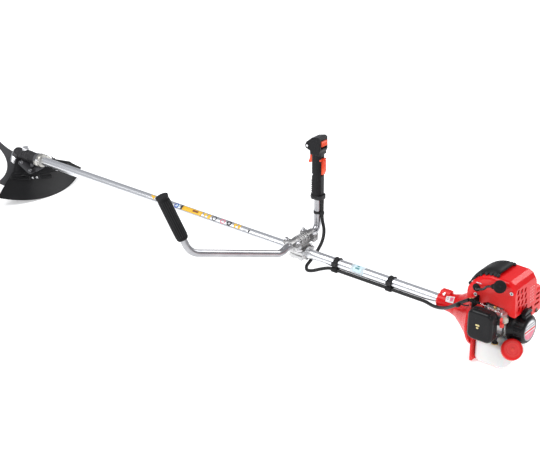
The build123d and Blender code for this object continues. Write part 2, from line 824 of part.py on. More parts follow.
# ---------------------------------------------------------------- flywheel, crank, piston
flywheel_front = -46.0
flywheel_rear = -26.0
flywheel_radius = 52.0
bore_radius = 18.0
throw = 14.0
web_radius = 24.0
web_gap = 13.0
crank_end = 46.0

with BuildPart() as flywheel:
    turned_x([
        (flywheel_front + 8, 8.04), (flywheel_front + 8, 46), (flywheel_rear - 4, flywheel_radius),
        (flywheel_rear, flywheel_radius),
        (flywheel_rear, 40), (flywheel_rear - 4, 36), (flywheel_rear - 4, 8.04),
    ])
    blade_plane = across(flywheel_front + 8.5)
    with BuildSketch(blade_plane) as vanes:
        with PolarLocations(35, 16):
            Rectangle(20, 2.2)
    extrude(vanes.sketch, amount=-8.5)
keep("flywheel", flywheel)

with BuildPart() as crankshaft:
    turned_x([
        (drum_front + 8, 0), (drum_front + 8, 8.9), (drum_front + 26, 8.9), (drum_front + 26, 12),
        (flywheel_front + 7.9, 12),
        (flywheel_front + 7.9, 8), (cylinder_x - web_gap / 2 - 8, 8),
        (cylinder_x - web_gap / 2 - 8, web_radius),
        (cylinder_x - web_gap / 2, web_radius), (cylinder_x - web_gap / 2, 0),
    ])
    turned_x([
        (cylinder_x + web_gap / 2, 0), (cylinder_x + web_gap / 2, web_radius),
        (cylinder_x + web_gap / 2 + 8, web_radius),
        (cylinder_x + web_gap / 2 + 8, 8), (crank_end, 8), (crank_end, 0),
    ])
keep("crankshaft", crankshaft)

pin_z = axis_z + throw
wrist_z = pin_z + 52.0
piston_crown = wrist_z + 16.0
with BuildPart() as connecting_rod:
    rod_front = cylinder_x - 4.5
    bar((rod_front, 0, pin_z), (rod_front + 9, 0, pin_z), 9)
    bar((rod_front + 1, 0, wrist_z), (rod_front + 8, 0, wrist_z), 7)
    with Locations((cylinder_x, 0, (pin_z + wrist_z) / 2)):
        Box(5, 8, wrist_z - pin_z)
    bar((rod_front - 1, 0, wrist_z), (rod_front + 10, 0, wrist_z), 4.54, Mode.SUBTRACT)
    bar((cylinder_x - web_gap / 2 + 0.4, 0, pin_z), (cylinder_x + web_gap / 2 - 0.4, 0, pin_z), 5.5)
keep("connecting_rod", connecting_rod)

with BuildPart() as piston:
    turned_up(cylinder_x, 0, [
        (wrist_z - 13, 15), (wrist_z - 13, bore_radius - 0.1), (piston_crown - 6, bore_radius - 0.1),
        (piston_crown - 6, bore_radius - 1.5),
        (piston_crown - 4.5, bore_radius - 1.5), (piston_crown - 4.5, bore_radius - 0.1),
        (piston_crown, bore_radius - 0.1), (piston_crown + 1.5, 0),
        (piston_crown - 4, 0), (piston_crown - 6, 15),
    ])
    bar((cylinder_x - 15.5, 0, wrist_z), (cylinder_x + 15.5, 0, wrist_z), 4.5)
keep("piston", piston)

# ---------------------------------------------------------------- crankcase and cylinder
case_front = cylinder_x - 30.0
case_rear = cylinder_x + 30.0
deck_z = axis_z + 42.0
port_z = 158.0          # height of the inlet and exhaust ports
with BuildPart() as crankcase:
    turned_x([
        (fan_rear + 0.05, 0), (fan_rear + 0.05, fan_radius + 3), (fan_rear + 3.5, fan_radius + 3),
        (fan_rear + 3.5, 30),
        (case_front + 4, 33), (case_rear - 4, 33), (case_rear, 24), (case_rear, 0),
    ])
    slab(
        Plane(origin=(cylinder_x, 0, axis_z), x_dir=(1, 0, 0), z_dir=(0, 0, 1)), 50, 60,
        deck_z - axis_z, 6,
    )
    turned_x(
        [(case_front + 12, 0), (case_front + 12, 27), (case_rear - 12, 27), (case_rear - 12, 0)],
        Mode.SUBTRACT,
    )
    turned_x(
        [
            (crank_front_seat, 0),
            (crank_front_seat, 16),
            (crank_rear_seat + 9, 16),
            (crank_rear_seat + 9, 0),
        ],
        Mode.SUBTRACT,
    )
    turned_x([(fan_rear - 1, 0), (fan_rear - 1, 9), (case_rear + 1, 9), (case_rear + 1, 0)], Mode.SUBTRACT)
    bar((cylinder_x, 0, axis_z), (cylinder_x, 0, deck_z + 1), 21.5, Mode.SUBTRACT)
keep("crankcase", crankcase)

cylinder_top = 226.0
fin_count = 8
fin_bottom = deck_z + 30
fin_pitch = (cylinder_top - fin_bottom - 4) / (fin_count - 1)
cap_point = Vector(28.7, -66, 232.5)
plug_direction = Vector(0.5, -0.72, 0.48).normalized()
plug_foot = cap_point - plug_direction * 56
plug_side = plug_direction.cross(east).normalized()

with BuildPart() as cylinder:
    bar((cylinder_x, 0, deck_z - 16), (cylinder_x, 0, deck_z + 1), 21)
    slab(Plane(origin=(cylinder_x, 0, deck_z + 0.02), x_dir=(1, 0, 0), z_dir=(0, 0, 1)), 48, 58, 6, 6)
    bar((cylinder_x, 0, deck_z + 2), (cylinder_x, 0, cylinder_top), 25)
    slab(side_on(0, cylinder_x, port_z), 30, 19.6, 41.5)
    slab(side_on(43, cylinder_x, port_z), 30, 19.6, 43)
    for number in range(fin_count):
        fin_plane = Plane(
            origin=(cylinder_x, 0, fin_bottom + number * fin_pitch), x_dir=(1, 0, 0), z_dir=(0, 0, 1),
        )
        slab(fin_plane, 72, 76, 2.2, 12)
    bar((cylinder_x, 0, deck_z - 20), (cylinder_x, 0, piston_crown + 4), bore_radius, Mode.SUBTRACT)
    bar((cylinder_x, -43, port_z), (cylinder_x, 0, port_z), 7, Mode.SUBTRACT)
    bar((cylinder_x, 44, port_z), (cylinder_x, 0, port_z), 8, Mode.SUBTRACT)
    bar(plug_foot + plug_direction * 15.9, plug_foot + plug_direction * 60, 10.5, Mode.SUBTRACT)
keep("cylinder", cylinder)

# ---------------------------------------------------------------- spark plug, cap and lead
with BuildPart() as spark_plug:
    turned(
        plug_foot + plug_direction * 16,
        plug_direction,
        plug_side,
        [(0, 0), (0, 9), (8, 9), (8, 6), (30, 5), (30, 0)],
    )
keep("spark_plug", spark_plug)

lead_start = cap_point + Vector(-20, 0.5, -6)
lead_route = [
    lead_start + (lead_start - cap_point) * 0.01,
    lead_start + (lead_start - cap_point) * 0.7,
    Vector(-18, -60, 207),
    Vector(-36, -60, 203),
    Vector(-43, -50, 200),
]
with BuildPart() as plug_cap:
    turned(
        plug_foot,
        plug_direction,
        plug_side,
        [
            (36, 6.6), (36, 9.5), (44, 10.5), (48, 15), (58, 15.5), (63, 13.5), (66, 9), (67.5, 0),
            (47, 0), (47, 6.6),
        ],
    )
    bar(cap_point, lead_start, 6)
    bar(plug_foot + plug_direction * 35, plug_foot + plug_direction * 47, 6.6, Mode.SUBTRACT)
keep("plug_cap", plug_cap)

with BuildPart() as ht_lead:
    with BuildLine() as lead_line:
        FilletPolyline(*lead_route, radius=route_radii(lead_route))
    with BuildSketch(Plane(origin=lead_line.line @ 0, z_dir=lead_line.line % 0)):
        Circle(3)
    sweep()
keep("ht_lead", ht_lead)

# ---------------------------------------------------------------- engine shroud and top pad
shroud_left = 47.0
shroud_right = 54.0
shroud_wall = 3.0
roof = [(-69, 195), (-54, 217), (-32, 234), (-8, 240.5), (42, 239.5), (54, 234), (61, 223)]
skirt = [(64, 152), (53, 152), (37, 158), (35, 167), (-10, 171), (-22, 166), (-26, 150), (-66, 150)]
inner_roof = [
    (-65.6, 195), (-51.4, 215), (-30.5, 231.2), (-7.5, 237.5), (41, 236.5), (51.8, 231.4), (58, 222),
]
inner_skirt = [(61, 140), (-63, 140)]


def shroud_block(outline, left_side, right_side, radius):
    """Shroud volume: a side outline drawn across, with its roof edges rounded."""
    with BuildPart() as block:
        prism(side_on(right_side), outline, right_side + left_side)
        roof_edges = block.edges().filter_by(
            lambda edge: edge.center().Z > 200 and (
                edge.center().Y < 1 - left_side or edge.center().Y > right_side - 1
            )
        )
        fillet(roof_edges, radius)
    return block.part


shroud_core = shroud_block(
    inner_roof + inner_skirt, shroud_left - shroud_wall, shroud_right - shroud_wall, 7,
)
with BuildPart() as engine_shroud:
    add(shroud_block(roof + skirt, shroud_left, shroud_right, 10))
    add(shroud_core, mode=Mode.SUBTRACT)
    turned_x([
        (housing_x + 80, 0), (housing_x + 80, 46.5), (housing_x + 101, 62.5), (housing_x + 116, 75.5),
        (bell_rear - 6, bell_radius + 1),
        (bell_rear + 1, bell_radius + 1), (bell_rear + 1, fan_radius + 4),
        (fan_rear + 5, fan_radius + 4), (fan_rear + 5, 0),
    ], Mode.SUBTRACT)
    bar(plug_foot + plug_direction * 5, plug_foot + plug_direction * 70, 12.5, Mode.SUBTRACT)
    for row in range(4):
        for column in range(3):
            slot_y = -34 + column * 17 + row * 2
            slot_z = 214 - row * 15.5 - column * 3
            prism(
                across(50, slot_y, slot_z),
                [(-6, -5.5), (2, -5.5), (6, 5.5), (-2, 5.5)],
                20,
                Mode.SUBTRACT,
            )
keep("engine_shroud", engine_shroud)

pad_half_width = 40.0
pad_lift = -5.0         # the pad follows the roof of the shroud
pad_outline = [
    (-71.5, 201 + pad_lift),
    (-56, 224 + pad_lift),
    (-33, 241.7 + pad_lift),
    (-8.5, 248.2 + pad_lift),
    (8, 248 + pad_lift),
    (11, 252 + pad_lift),
    (8, 257 + pad_lift),
    (-2, 259 + pad_lift),
    (-19, 257 + pad_lift),
    (-40, 247 + pad_lift),
    (-60, 230 + pad_lift),
    (-74, 209 + pad_lift),
    (-75, 202 + pad_lift),
]
with BuildPart() as top_pad:
    prism(side_on(pad_half_width), pad_outline, 2 * pad_half_width)
    fillet(top_pad.edges().filter_by(lambda edge: abs(abs(edge.center().Y) - pad_half_width) < 0.1), 2.0)
keep("top_pad", top_pad)

# ---------------------------------------------------------------- muffler and its guard
muffler_x = 18.0
muffler_z = 142.0
guard_face = 96.0
pipe_start = Vector(muffler_x + 20, 76, muffler_z - 20)
pipe_end = pipe_start + Vector(20, 0, -5)
with BuildPart() as muffler:
    slab(side_on(86, muffler_x, muffler_z), 56, 58, 30, 9)
    slab(side_on(56.5, cylinder_x, port_z), 28, 18, 13.4, 3)
    bar(pipe_start, pipe_end, 5)
    bar(pipe_start + (pipe_end - pipe_start) * 0.3, pipe_end + east, 3.8, Mode.SUBTRACT)
keep("muffler", muffler)

with BuildPart() as muffler_guard:
    slab(side_on(guard_face, muffler_x, muffler_z), 74, 74, guard_face - shroud_right - 0.1, 12)
    slab(side_on(guard_face - 3, muffler_x, muffler_z), 68, 68, 44, 10, Mode.SUBTRACT)
    for row in range(4):
        slab(side_on(guard_face + 1, muffler_x, 121 + row * 14), 44, 6, 10, 2.9, Mode.SUBTRACT)
    for row in range(3):
        slab(across(muffler_x + 30, 76, 137 + row * 13), 24, 6, 10, 2.9, Mode.SUBTRACT)
    bar(pipe_start, pipe_end + east * 5, 6.5, Mode.SUBTRACT)
keep("muffler_guard", muffler_guard)

# ---------------------------------------------------------------- carburettor and its controls
carb_top = 164.0
carb_bottom = 138.0
carb_front = -4.0
carb_rear = 46.0
throttle_pivot = Vector(35, -56, carb_top)
throttle_end = Vector(41, -72, carb_top)
wire_height = 5.0       # throttle wire over the carburettor's top

with BuildPart() as carburettor:
    with Locations(((carb_front + carb_rear) / 2, -64, (carb_top + carb_bottom) / 2)):
        Box(carb_rear - carb_front, 27, carb_top - carb_bottom)
    fillet(carburettor.edges().filter_by(Axis.Y), 4)
    slab(side_on(-41.6, cylinder_x, port_z), 34, 19, 9.2, 4)
    bar((12, -66, carb_bottom - 5), (12, -66, carb_bottom + 1), 11)
    bar((42, -60, carb_bottom - 5), (42, -60, carb_bottom + 4), 2.4)
    bar((cylinder_x, -80, port_z - 6), (cylinder_x, -40, port_z - 6), 5, Mode.SUBTRACT)
    bar(throttle_pivot - up * 12, throttle_pivot + up, 2.56, Mode.SUBTRACT)
    bar((carb_rear - 6.5, -66, 150), (carb_rear + 1, -66, 150), 9.9, Mode.SUBTRACT)
keep("carburettor", carburettor)

arm_along = throttle_end - throttle_pivot
with BuildPart() as throttle_arm:
    bar(throttle_pivot - up * 11, throttle_pivot + up * 4, 2.5)
    bar(throttle_pivot + up, throttle_pivot + up * 3, 6)
    slab(
        Plane(origin=throttle_pivot + arm_along * 0.5 + up, x_dir=arm_along, z_dir=up),
        arm_along.length + 8, 7, 2, 3,
    )
    bar(throttle_end + up * 2, throttle_end + up * (wire_height + 3), 3)
keep("throttle_arm", throttle_arm)

with BuildPart() as primer_bulb:
    turned(
        Vector(carb_rear, -66, 150),
        east,
        left,
        [(-1.6, 0), (-1.6, 9.5), (2, 9.5), (3, 8.5), (6, 8), (9, 6), (10.5, 3), (11, 0)],
    )
keep("primer_bulb", primer_bulb)

# ---------------------------------------------------------------- air cleaner
cleaner_middle = (5.0, 135.5)
cleaner_width = 68.0
cleaner_height = 78.0
cover_front = -110.0
cover_back = -84.2
choke_pivot = Vector(carb_rear + 0.3, -81.2, 158)

with BuildPart() as air_cleaner_base:
    slab(side_on(-78.2, *cleaner_middle), cleaner_width - 6, cleaner_height - 6, 5.8, 13)
    slab(side_on(-84, *cleaner_middle), cleaner_width - 14, cleaner_height - 14, 4, 9)
    slab(side_on(-83.9, *cleaner_middle), cleaner_width - 18, cleaner_height - 18, 5, 7, Mode.SUBTRACT)
    bar((cylinder_x, -90, port_z - 6), (cylinder_x, -70, port_z - 6), 6, Mode.SUBTRACT)
    bar(choke_pivot - east * 0.4, choke_pivot - east * 16, 2.9)
keep("air_cleaner_base", air_cleaner_base)

with BuildPart() as air_filter:
    slab(side_on(-88.3, *cleaner_middle), cleaner_width - 20, cleaner_height - 20, 15, 7)
keep("air_filter", air_filter)

with BuildPart() as air_cleaner_cover:
    slab(side_on(cover_back, *cleaner_middle), cleaner_width, cleaner_height, cover_back - cover_front, 16)
    fillet(air_cleaner_cover.faces().sort_by(Axis.Y)[0].edges(), 8)
    slab(
        side_on(cover_back + 1, *cleaner_middle), cleaner_width - 6, cleaner_height - 6,
        cover_back - cover_front - 2, 13, Mode.SUBTRACT,
    )
keep("air_cleaner_cover", air_cleaner_cover)

with BuildPart() as choke_lever:
    bar(choke_pivot, choke_pivot + east * 3, 5)
    prism(
        Plane(origin=choke_pivot, x_dir=(0, 1, 0), z_dir=(1, 0, 0)),
        [(-4, 0), (-3.5, -18), (-2, -21), (2, -21), (3.5, -18), (4, 0)],
        3,
    )
    slab(Plane(origin=choke_pivot - up * 15, x_dir=(0, 1, 0), z_dir=(1, 0, 0)), 8, 11, 7, 2)
keep("choke_lever", choke_lever)

# ---------------------------------------------------------------- recoil starter
starter_front = case_rear + 0.5
starter_rear = 82.0
pulley_front = 53.0
pulley_rear = 66.0
rope_x = 71.5
rope_y = -4.0
tower_top = axis_z + 41.0
with BuildPart() as starter_case:
    turned_x([
        (starter_front, 0), (starter_front, 40), (starter_front + 5, 42), (starter_front + 12, 40),
        (starter_front + 18, 37),
        (starter_rear - 4, 35), (starter_rear - 1, 32), (starter_rear, 30), (starter_rear, 0),
    ])
    with Locations((rope_x, rope_y, tower_top - 7)):
        Box(12, 22, 14)
    turned_x(
        [(starter_front - 1, 0), (starter_front - 1, 30), (pulley_rear + 3, 30), (pulley_rear + 3, 0)],
        Mode.SUBTRACT,
    )
    bar((pulley_front - 2, 0, axis_z), (pulley_rear + 4, 0, axis_z), 5)
    bar((rope_x, rope_y, tower_top - 8), (rope_x, rope_y, tower_top + 1), 2.5, Mode.SUBTRACT)
keep("starter_case", starter_case)

with BuildPart() as starter_pulley:
    turned_x([
        (pulley_front, 5.05), (pulley_front, 28), (pulley_front + 2.5, 28), (pulley_front + 4, 24),
        (pulley_rear - 4, 24),
        (pulley_rear - 2.5, 28), (pulley_rear, 28), (pulley_rear, 5.05),
    ])
    for turn in range(3):
        angle = math.radians(turn * 120)
        spot = Vector(pulley_front - 2, 14 * math.cos(angle), axis_z + 14 * math.sin(angle))
        bar(spot, spot + east * 2.5, 3)
keep("starter_pulley", starter_pulley)

with BuildPart() as rope_handle:
    handle_foot = tower_top + 0.4
    turned_up(
        rope_x,
        rope_y,
        [(handle_foot, 0), (handle_foot, 4.5), (handle_foot + 4, 5), (handle_foot + 4, 0)],
    )
    with BuildSketch(across(rope_x - 6, rope_y, handle_foot)) as grip_outline:
        with BuildLine():
            Polyline((-18, 7), (-16, 3.5), (16, 3.5), (18, 7))
            ThreePointArc((18, 7), (0, 14), (-18, 7))
        make_face()
    extrude(grip_outline.sketch, amount=12)
    fillet(rope_handle.edges().filter_by(lambda edge: edge.center().Z > handle_foot + 9), 2.0)
keep("rope_handle", rope_handle)

# ---------------------------------------------------------------- fuel tank, cap, hose and stand
tank_bottom = 6.4
tank_top = 70.0
tank_front = -39.0
tank_rear = 51.0
tank_half = 56.0
cap_middle = Vector(66, -53, 71)
cap_axis = Vector(0.55, -0.62, 0.56).normalized()
cap_side = cap_axis.cross(up).normalized()
cap_radius = 26.0
hose_radius = 2.5
hose_route = [
    Vector(42, -60, carb_bottom - 5.4),
    Vector(42.4, -60, 117),
    Vector(37, -53, 98),
    Vector(22, -50, 89),
    Vector(18, -50, tank_top + 4),
]


def box_between(low, high, mode=Mode.ADD):
    """Box from one corner to the opposite one."""
    with Locations(((low[0] + high[0]) / 2, (low[1] + high[1]) / 2, (low[2] + high[2]) / 2)):
        Box(high[0] - low[0], high[1] - low[1], high[2] - low[2], mode=mode)


def rounded_box(low, high, upright_radius, rim_radius):
    """Box with rounded upright edges and rounded top and bottom rims."""
    with BuildPart() as block:
        box_between(low, high)
        fillet(block.edges().filter_by(Axis.Z), upright_radius)
        rims = block.edges().filter_by(
            lambda edge: edge.center().Z < low[2] + 0.1 or edge.center().Z > high[2] - 0.1
        )
        fillet(rims, rim_radius)
    return block.part


tank_cavity = rounded_box(
    (-14, 4 - tank_half, tank_bottom + 3), (tank_rear - 4, tank_half - 4, tank_top - 11), 16, 9,
)
with BuildPart() as fuel_tank:
    add(rounded_box((tank_front, -tank_half, tank_bottom), (tank_rear, tank_half, tank_top), 20, 12))
    add(tank_cavity, mode=Mode.SUBTRACT)
    bar(on_axis(bell_rear), on_axis(fan_rear + 6), fan_radius + 4, Mode.SUBTRACT)
    bar(on_axis(case_rear - 1), on_axis(tank_rear + 1), 43, Mode.SUBTRACT)
    bar(cap_middle - cap_axis * 40, cap_middle, 20)
    bar(cap_middle - cap_axis * 34, cap_middle + cap_axis, 17, Mode.SUBTRACT)
    add(tank_cavity, mode=Mode.SUBTRACT)
keep("fuel_tank", fuel_tank)

with BuildPart() as fuel_cap:
    turned(cap_middle, cap_axis, cap_side, [
        (-7, 20.4), (-7, cap_radius), (5, cap_radius), (8, cap_radius - 2.5), (9, cap_radius - 6),
        (9, 0), (0.6, 0), (0.6, 20.4),
    ])
    with BuildSketch(Plane(origin=cap_middle - cap_axis * 8, x_dir=cap_side, z_dir=cap_axis)) as flutes:
        with PolarLocations(cap_radius + 0.6, 30):
            Circle(1.4)
    extrude(flutes.sketch, amount=12, mode=Mode.SUBTRACT)
keep("fuel_cap", fuel_cap)


with BuildPart() as fuel_hose:
    hose_length = route_tube(hose_route, hose_radius)
    turned_up(
        18,
        -50,
        [
            (tank_top + 0.05, 0), (tank_top + 0.05, 7), (tank_top + 3, 7), (tank_top + 5, 5),
            (tank_top + 8, 4), (tank_top + 8, 0),
        ],
    )
keep("fuel_hose", fuel_hose)

stand_front = bell_rear + 0.4
stand_thickness = 5.2
with BuildPart() as tank_stand:
    box_between((stand_front, -58, 3), (stand_front + stand_thickness, 58, 85))
    fillet(tank_stand.edges().filter_by(Axis.X), 3)
    box_between((stand_front, -34, 0), (34, 34, tank_bottom - 0.1))
    bar(
        on_axis(stand_front - 1), on_axis(stand_front + stand_thickness + 1), fan_radius + 3.2,
        Mode.SUBTRACT,
    )
keep("tank_stand", tank_stand)

# ---------------------------------------------------------------- throttle cable and its clips
cable_radius = 4.5
clip_y = -12.6
clip_z = axis_z - 13.0
adjuster_z = 176.0
adjuster_front = Vector(-48, -72, adjuster_z - 1)
cable_route = [
    handle_point(cable_rear, -2),
    handle_point(cable_rear, -58),
    Vector(-573, 62, 153),
    Vector(-565, 45, 130),
    Vector(-567, 25, 107),
    Vector(-573, 5, 86),
    Vector(-574, -15, 76),
    Vector(-562, -29, 72),
    Vector(-543, -30, 77),
    Vector(-522, -21, 86),
    Vector(-500, clip_y, clip_z),
    Vector(-205, clip_y, clip_z),
    Vector(-178, -22.5, 94),
    Vector(-150, -34, 102),
    Vector(-122, -47, 117),
    Vector(-96, -60, 137),
    Vector(-70, -71, 160),
    adjuster_front,
]

with BuildPart() as throttle_cable:
    cable_length = route_tube(cable_route, cable_radius)
    turned(
        handle_point(cable_rear, -16),
        stem_direction,
        left,
        [(2, 0), (2, 4.6), (12, 4.8), (15.9, 4.8), (15.9, 2.9), (23, 2.9), (23, 0)],
    )
keep("throttle_cable", throttle_cable)


def tube_strap(x):
    """Strap round the drive tube and the cable below it."""
    bar((x, 0, axis_z), (x + 14, 0, axis_z), tube_radius + 2)
    bar((x, clip_y, clip_z), (x + 14, clip_y, clip_z), cable_radius + 2)
    with Locations((x + 7, -16, axis_z + 3)):
        Box(14, 8, 10)


with BuildPart() as cable_clips:
    for strap_x in (-490.0, -321.0):
        tube_strap(strap_x)
    bar((-500, 0, axis_z), (-300, 0, axis_z), tube_radius + 0.05, Mode.SUBTRACT)
    bar((-500, clip_y, clip_z), (-300, clip_y, clip_z), cable_radius + 0.05, Mode.SUBTRACT)
    tie_low = handle_point(0, -43)
    tie_high = handle_point(0, -36)
    cable_low = handle_point(cable_rear, -43)
    cable_high = handle_point(cable_rear, -36)
    bar(tie_low, tie_high, bar_radius + 1.5)
    bar(cable_low, cable_high, cable_radius + 1.5)
    bar(handle_point(0, -50), handle_point(0, -30), bar_radius + 0.05, Mode.SUBTRACT)
    bar(handle_point(cable_rear, -50), handle_point(cable_rear, -30), cable_radius + 0.05, Mode.SUBTRACT)
    box_between((-37, -78, 160), (-34, -0.05 - shroud_left, 182))
    bar((-45.9, -72, adjuster_z), (-18, -72, adjuster_z), 3.2)
    hexagon((-42, -72, adjuster_z), east, 10, 4)
    hexagon((-33, -72, adjuster_z), east, 10, 4)
keep("cable_clips", cable_clips)

with BuildPart() as housing_bolts:
    bar((housing_x + 19, -14.5, axis_z + 25.5), (housing_x + 19, -10.05, axis_z + 25.5), 3.5)
    bar((housing_x + 19, 10.05, axis_z + 25.5), (housing_x + 19, 13.5, axis_z + 25.5), 3.5)
    for screw_x, screw_z in ((-44.0, 182.0), (52.0, 214.0)):
        bar((screw_x, -shroud_left - 3, screw_z), (screw_x, -shroud_left - 0.05, screw_z), 4.5)
    for screw_x in (muffler_x - 24, muffler_x + 24):
        bar((screw_x, guard_face + 0.05, 173.5), (screw_x, guard_face + 2.5, 173.5), 4)
keep("housing_bolts", housing_bolts)

print(
    "cable radii",
    [round(radius, 1) for radius in route_radii(cable_route)],
    "length",
    round(cable_length, 1),
)
print("cable section times length", round(math.pi * cable_radius ** 2 * cable_length))
print(
    "hose radii",
    [round(radius, 1) for radius in route_radii(hose_route)],
    "length",
    round(hose_length, 1),
)

os.makedirs("parts", exist_ok=True)
for name, piece in pieces.items():
    export_step(piece, f"parts/{name}.step")
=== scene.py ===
import math

import bmesh
import bpy
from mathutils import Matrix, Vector
from mathutils.bvhtree import BVHTree


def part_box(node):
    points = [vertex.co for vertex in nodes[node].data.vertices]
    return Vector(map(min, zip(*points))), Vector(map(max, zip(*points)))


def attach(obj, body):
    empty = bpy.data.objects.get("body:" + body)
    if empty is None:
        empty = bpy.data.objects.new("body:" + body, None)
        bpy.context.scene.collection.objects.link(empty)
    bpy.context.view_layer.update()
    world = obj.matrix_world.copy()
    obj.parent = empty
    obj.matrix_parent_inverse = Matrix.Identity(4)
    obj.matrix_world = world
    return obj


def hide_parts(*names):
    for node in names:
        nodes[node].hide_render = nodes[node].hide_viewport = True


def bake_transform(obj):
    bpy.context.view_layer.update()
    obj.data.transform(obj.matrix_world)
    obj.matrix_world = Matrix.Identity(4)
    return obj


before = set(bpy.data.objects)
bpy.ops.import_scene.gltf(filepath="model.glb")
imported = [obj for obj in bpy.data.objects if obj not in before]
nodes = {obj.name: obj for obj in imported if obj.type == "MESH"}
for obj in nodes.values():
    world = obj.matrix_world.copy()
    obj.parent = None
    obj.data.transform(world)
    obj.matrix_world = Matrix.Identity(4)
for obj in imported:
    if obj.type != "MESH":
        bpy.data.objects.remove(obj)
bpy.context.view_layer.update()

# Looks of the brush cutter. Lengths are millimetres, and MM turns them into metres. Only the camera,
# the lights and the floor are placed in metres.
MM = 0.001
TUBE_LOW, TUBE_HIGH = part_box("outer_tube")
TUBE_Z = (TUBE_LOW.z + TUBE_HIGH.z) / 2 / MM
TUBE_R = (TUBE_HIGH.z - TUBE_LOW.z) / 2 / MM
EAST = Vector((1, 0, 0))
UP = Vector((0, 0, 1))
LEFT = Vector((0, -1, 0))
HEAD_TILT = math.radians(25)            # the output axis leans forward from the vertical
# The gear head's directions: up the output axis, and rearward in the blade's plane.
OUTPUT = Vector((math.sin(HEAD_TILT), 0, math.cos(HEAD_TILT)))
OUTPUT_REAR = Vector((math.cos(HEAD_TILT), 0, -math.sin(HEAD_TILT)))
GEAR_CENTRE = Vector((-1680.7, 0, TUBE_Z))    # where the output axis crosses the tube's axis
COLLAR_X = -1590.0                      # rear face of the gear case, where the bare tube starts
BRACKET_X = -600.0                      # station of the handlebar bracket
HOUSING_X = -171.0                      # front face of the clutch housing
CABLE_Y = -12.6                         # the throttle cable's straight run, under the tube's left
CABLE_Z = TUBE_Z - 13
SHROUD_LEFT_Y = -47.0                   # left wall of the engine shroud
CHANNEL_INSET = 3.4                     # from a guard channel's wall to the bead on its floor
FILM_LIFT = 0.12                        # thickness of a colour film


# ---------------------------------------------------------------- camera, light and floor
def add_camera():
    """Camera at the photograph's viewing angle: the operator's left rear, from above."""
    data = bpy.data.cameras.new("camera")
    data.sensor_width = 36
    data.lens = 99.33
    data.clip_end = 50
    camera = bpy.data.objects.new("camera", data)
    bpy.context.scene.collection.objects.link(camera)
    camera.location = (1.5169, -2.8091, 1.857)
    camera.rotation_euler = (math.radians(90 - 25.63), 0, math.radians(38.37))
    bpy.context.scene.camera = camera


def add_softbox(name, place, aim, size, power):
    """Square area light that points from one place to another."""
    data = bpy.data.lights.new(name, "AREA")
    data.size = size
    data.energy = power
    light = bpy.data.objects.new(name, data)
    bpy.context.scene.collection.objects.link(light)
    light.location = place
    light.rotation_euler = (Vector(aim) - Vector(place)).to_track_quat("-Z", "Y").to_euler()


def add_studio():
    """Dim surroundings, three softboxes and a pale floor."""
    scene = bpy.context.scene
    scene.view_settings.view_transform = "Standard"
    world = bpy.data.worlds.new("studio")
    world.use_nodes = True
    background = world.node_tree.nodes["Background"]
    background.inputs["Color"].default_value = (0.93, 0.95, 1.0, 1)
    background.inputs["Strength"].default_value = 0.45
    scene.world = world
    middle = (-0.8, 0, 0.1)
    add_softbox("key_light", (-1.8, -2.0, 3.2), middle, 2.4, 88)
    add_softbox("engine_light", (1.8, -1.4, 1.7), (0, 0, 0.1), 0.9, 15)
    add_softbox("rear_light", (0.4, 2.8, 2.4), middle, 2.0, 60)
    mesh = bpy.data.meshes.new("floor")
    form = bmesh.new()
    bmesh.ops.create_grid(form, x_segments=4, y_segments=4, size=7)
    form.to_mesh(mesh)
    form.free()
    floor = bpy.data.objects.new("floor", mesh)
    floor.location = (-0.8, 0, -0.0005)
    scene.collection.objects.link(floor)
    paper = finish("floor_paper", (0.93, 0.93, 0.93), (0.9, 0.9, 0.9), 0.9, grain=300)
    glow = paper.node_tree.nodes["Principled BSDF"]
    glow.inputs["Emission Color"].default_value = (1, 1, 1, 1)
    glow.inputs["Emission Strength"].default_value = 0.42
    floor.data.materials.append(paper)


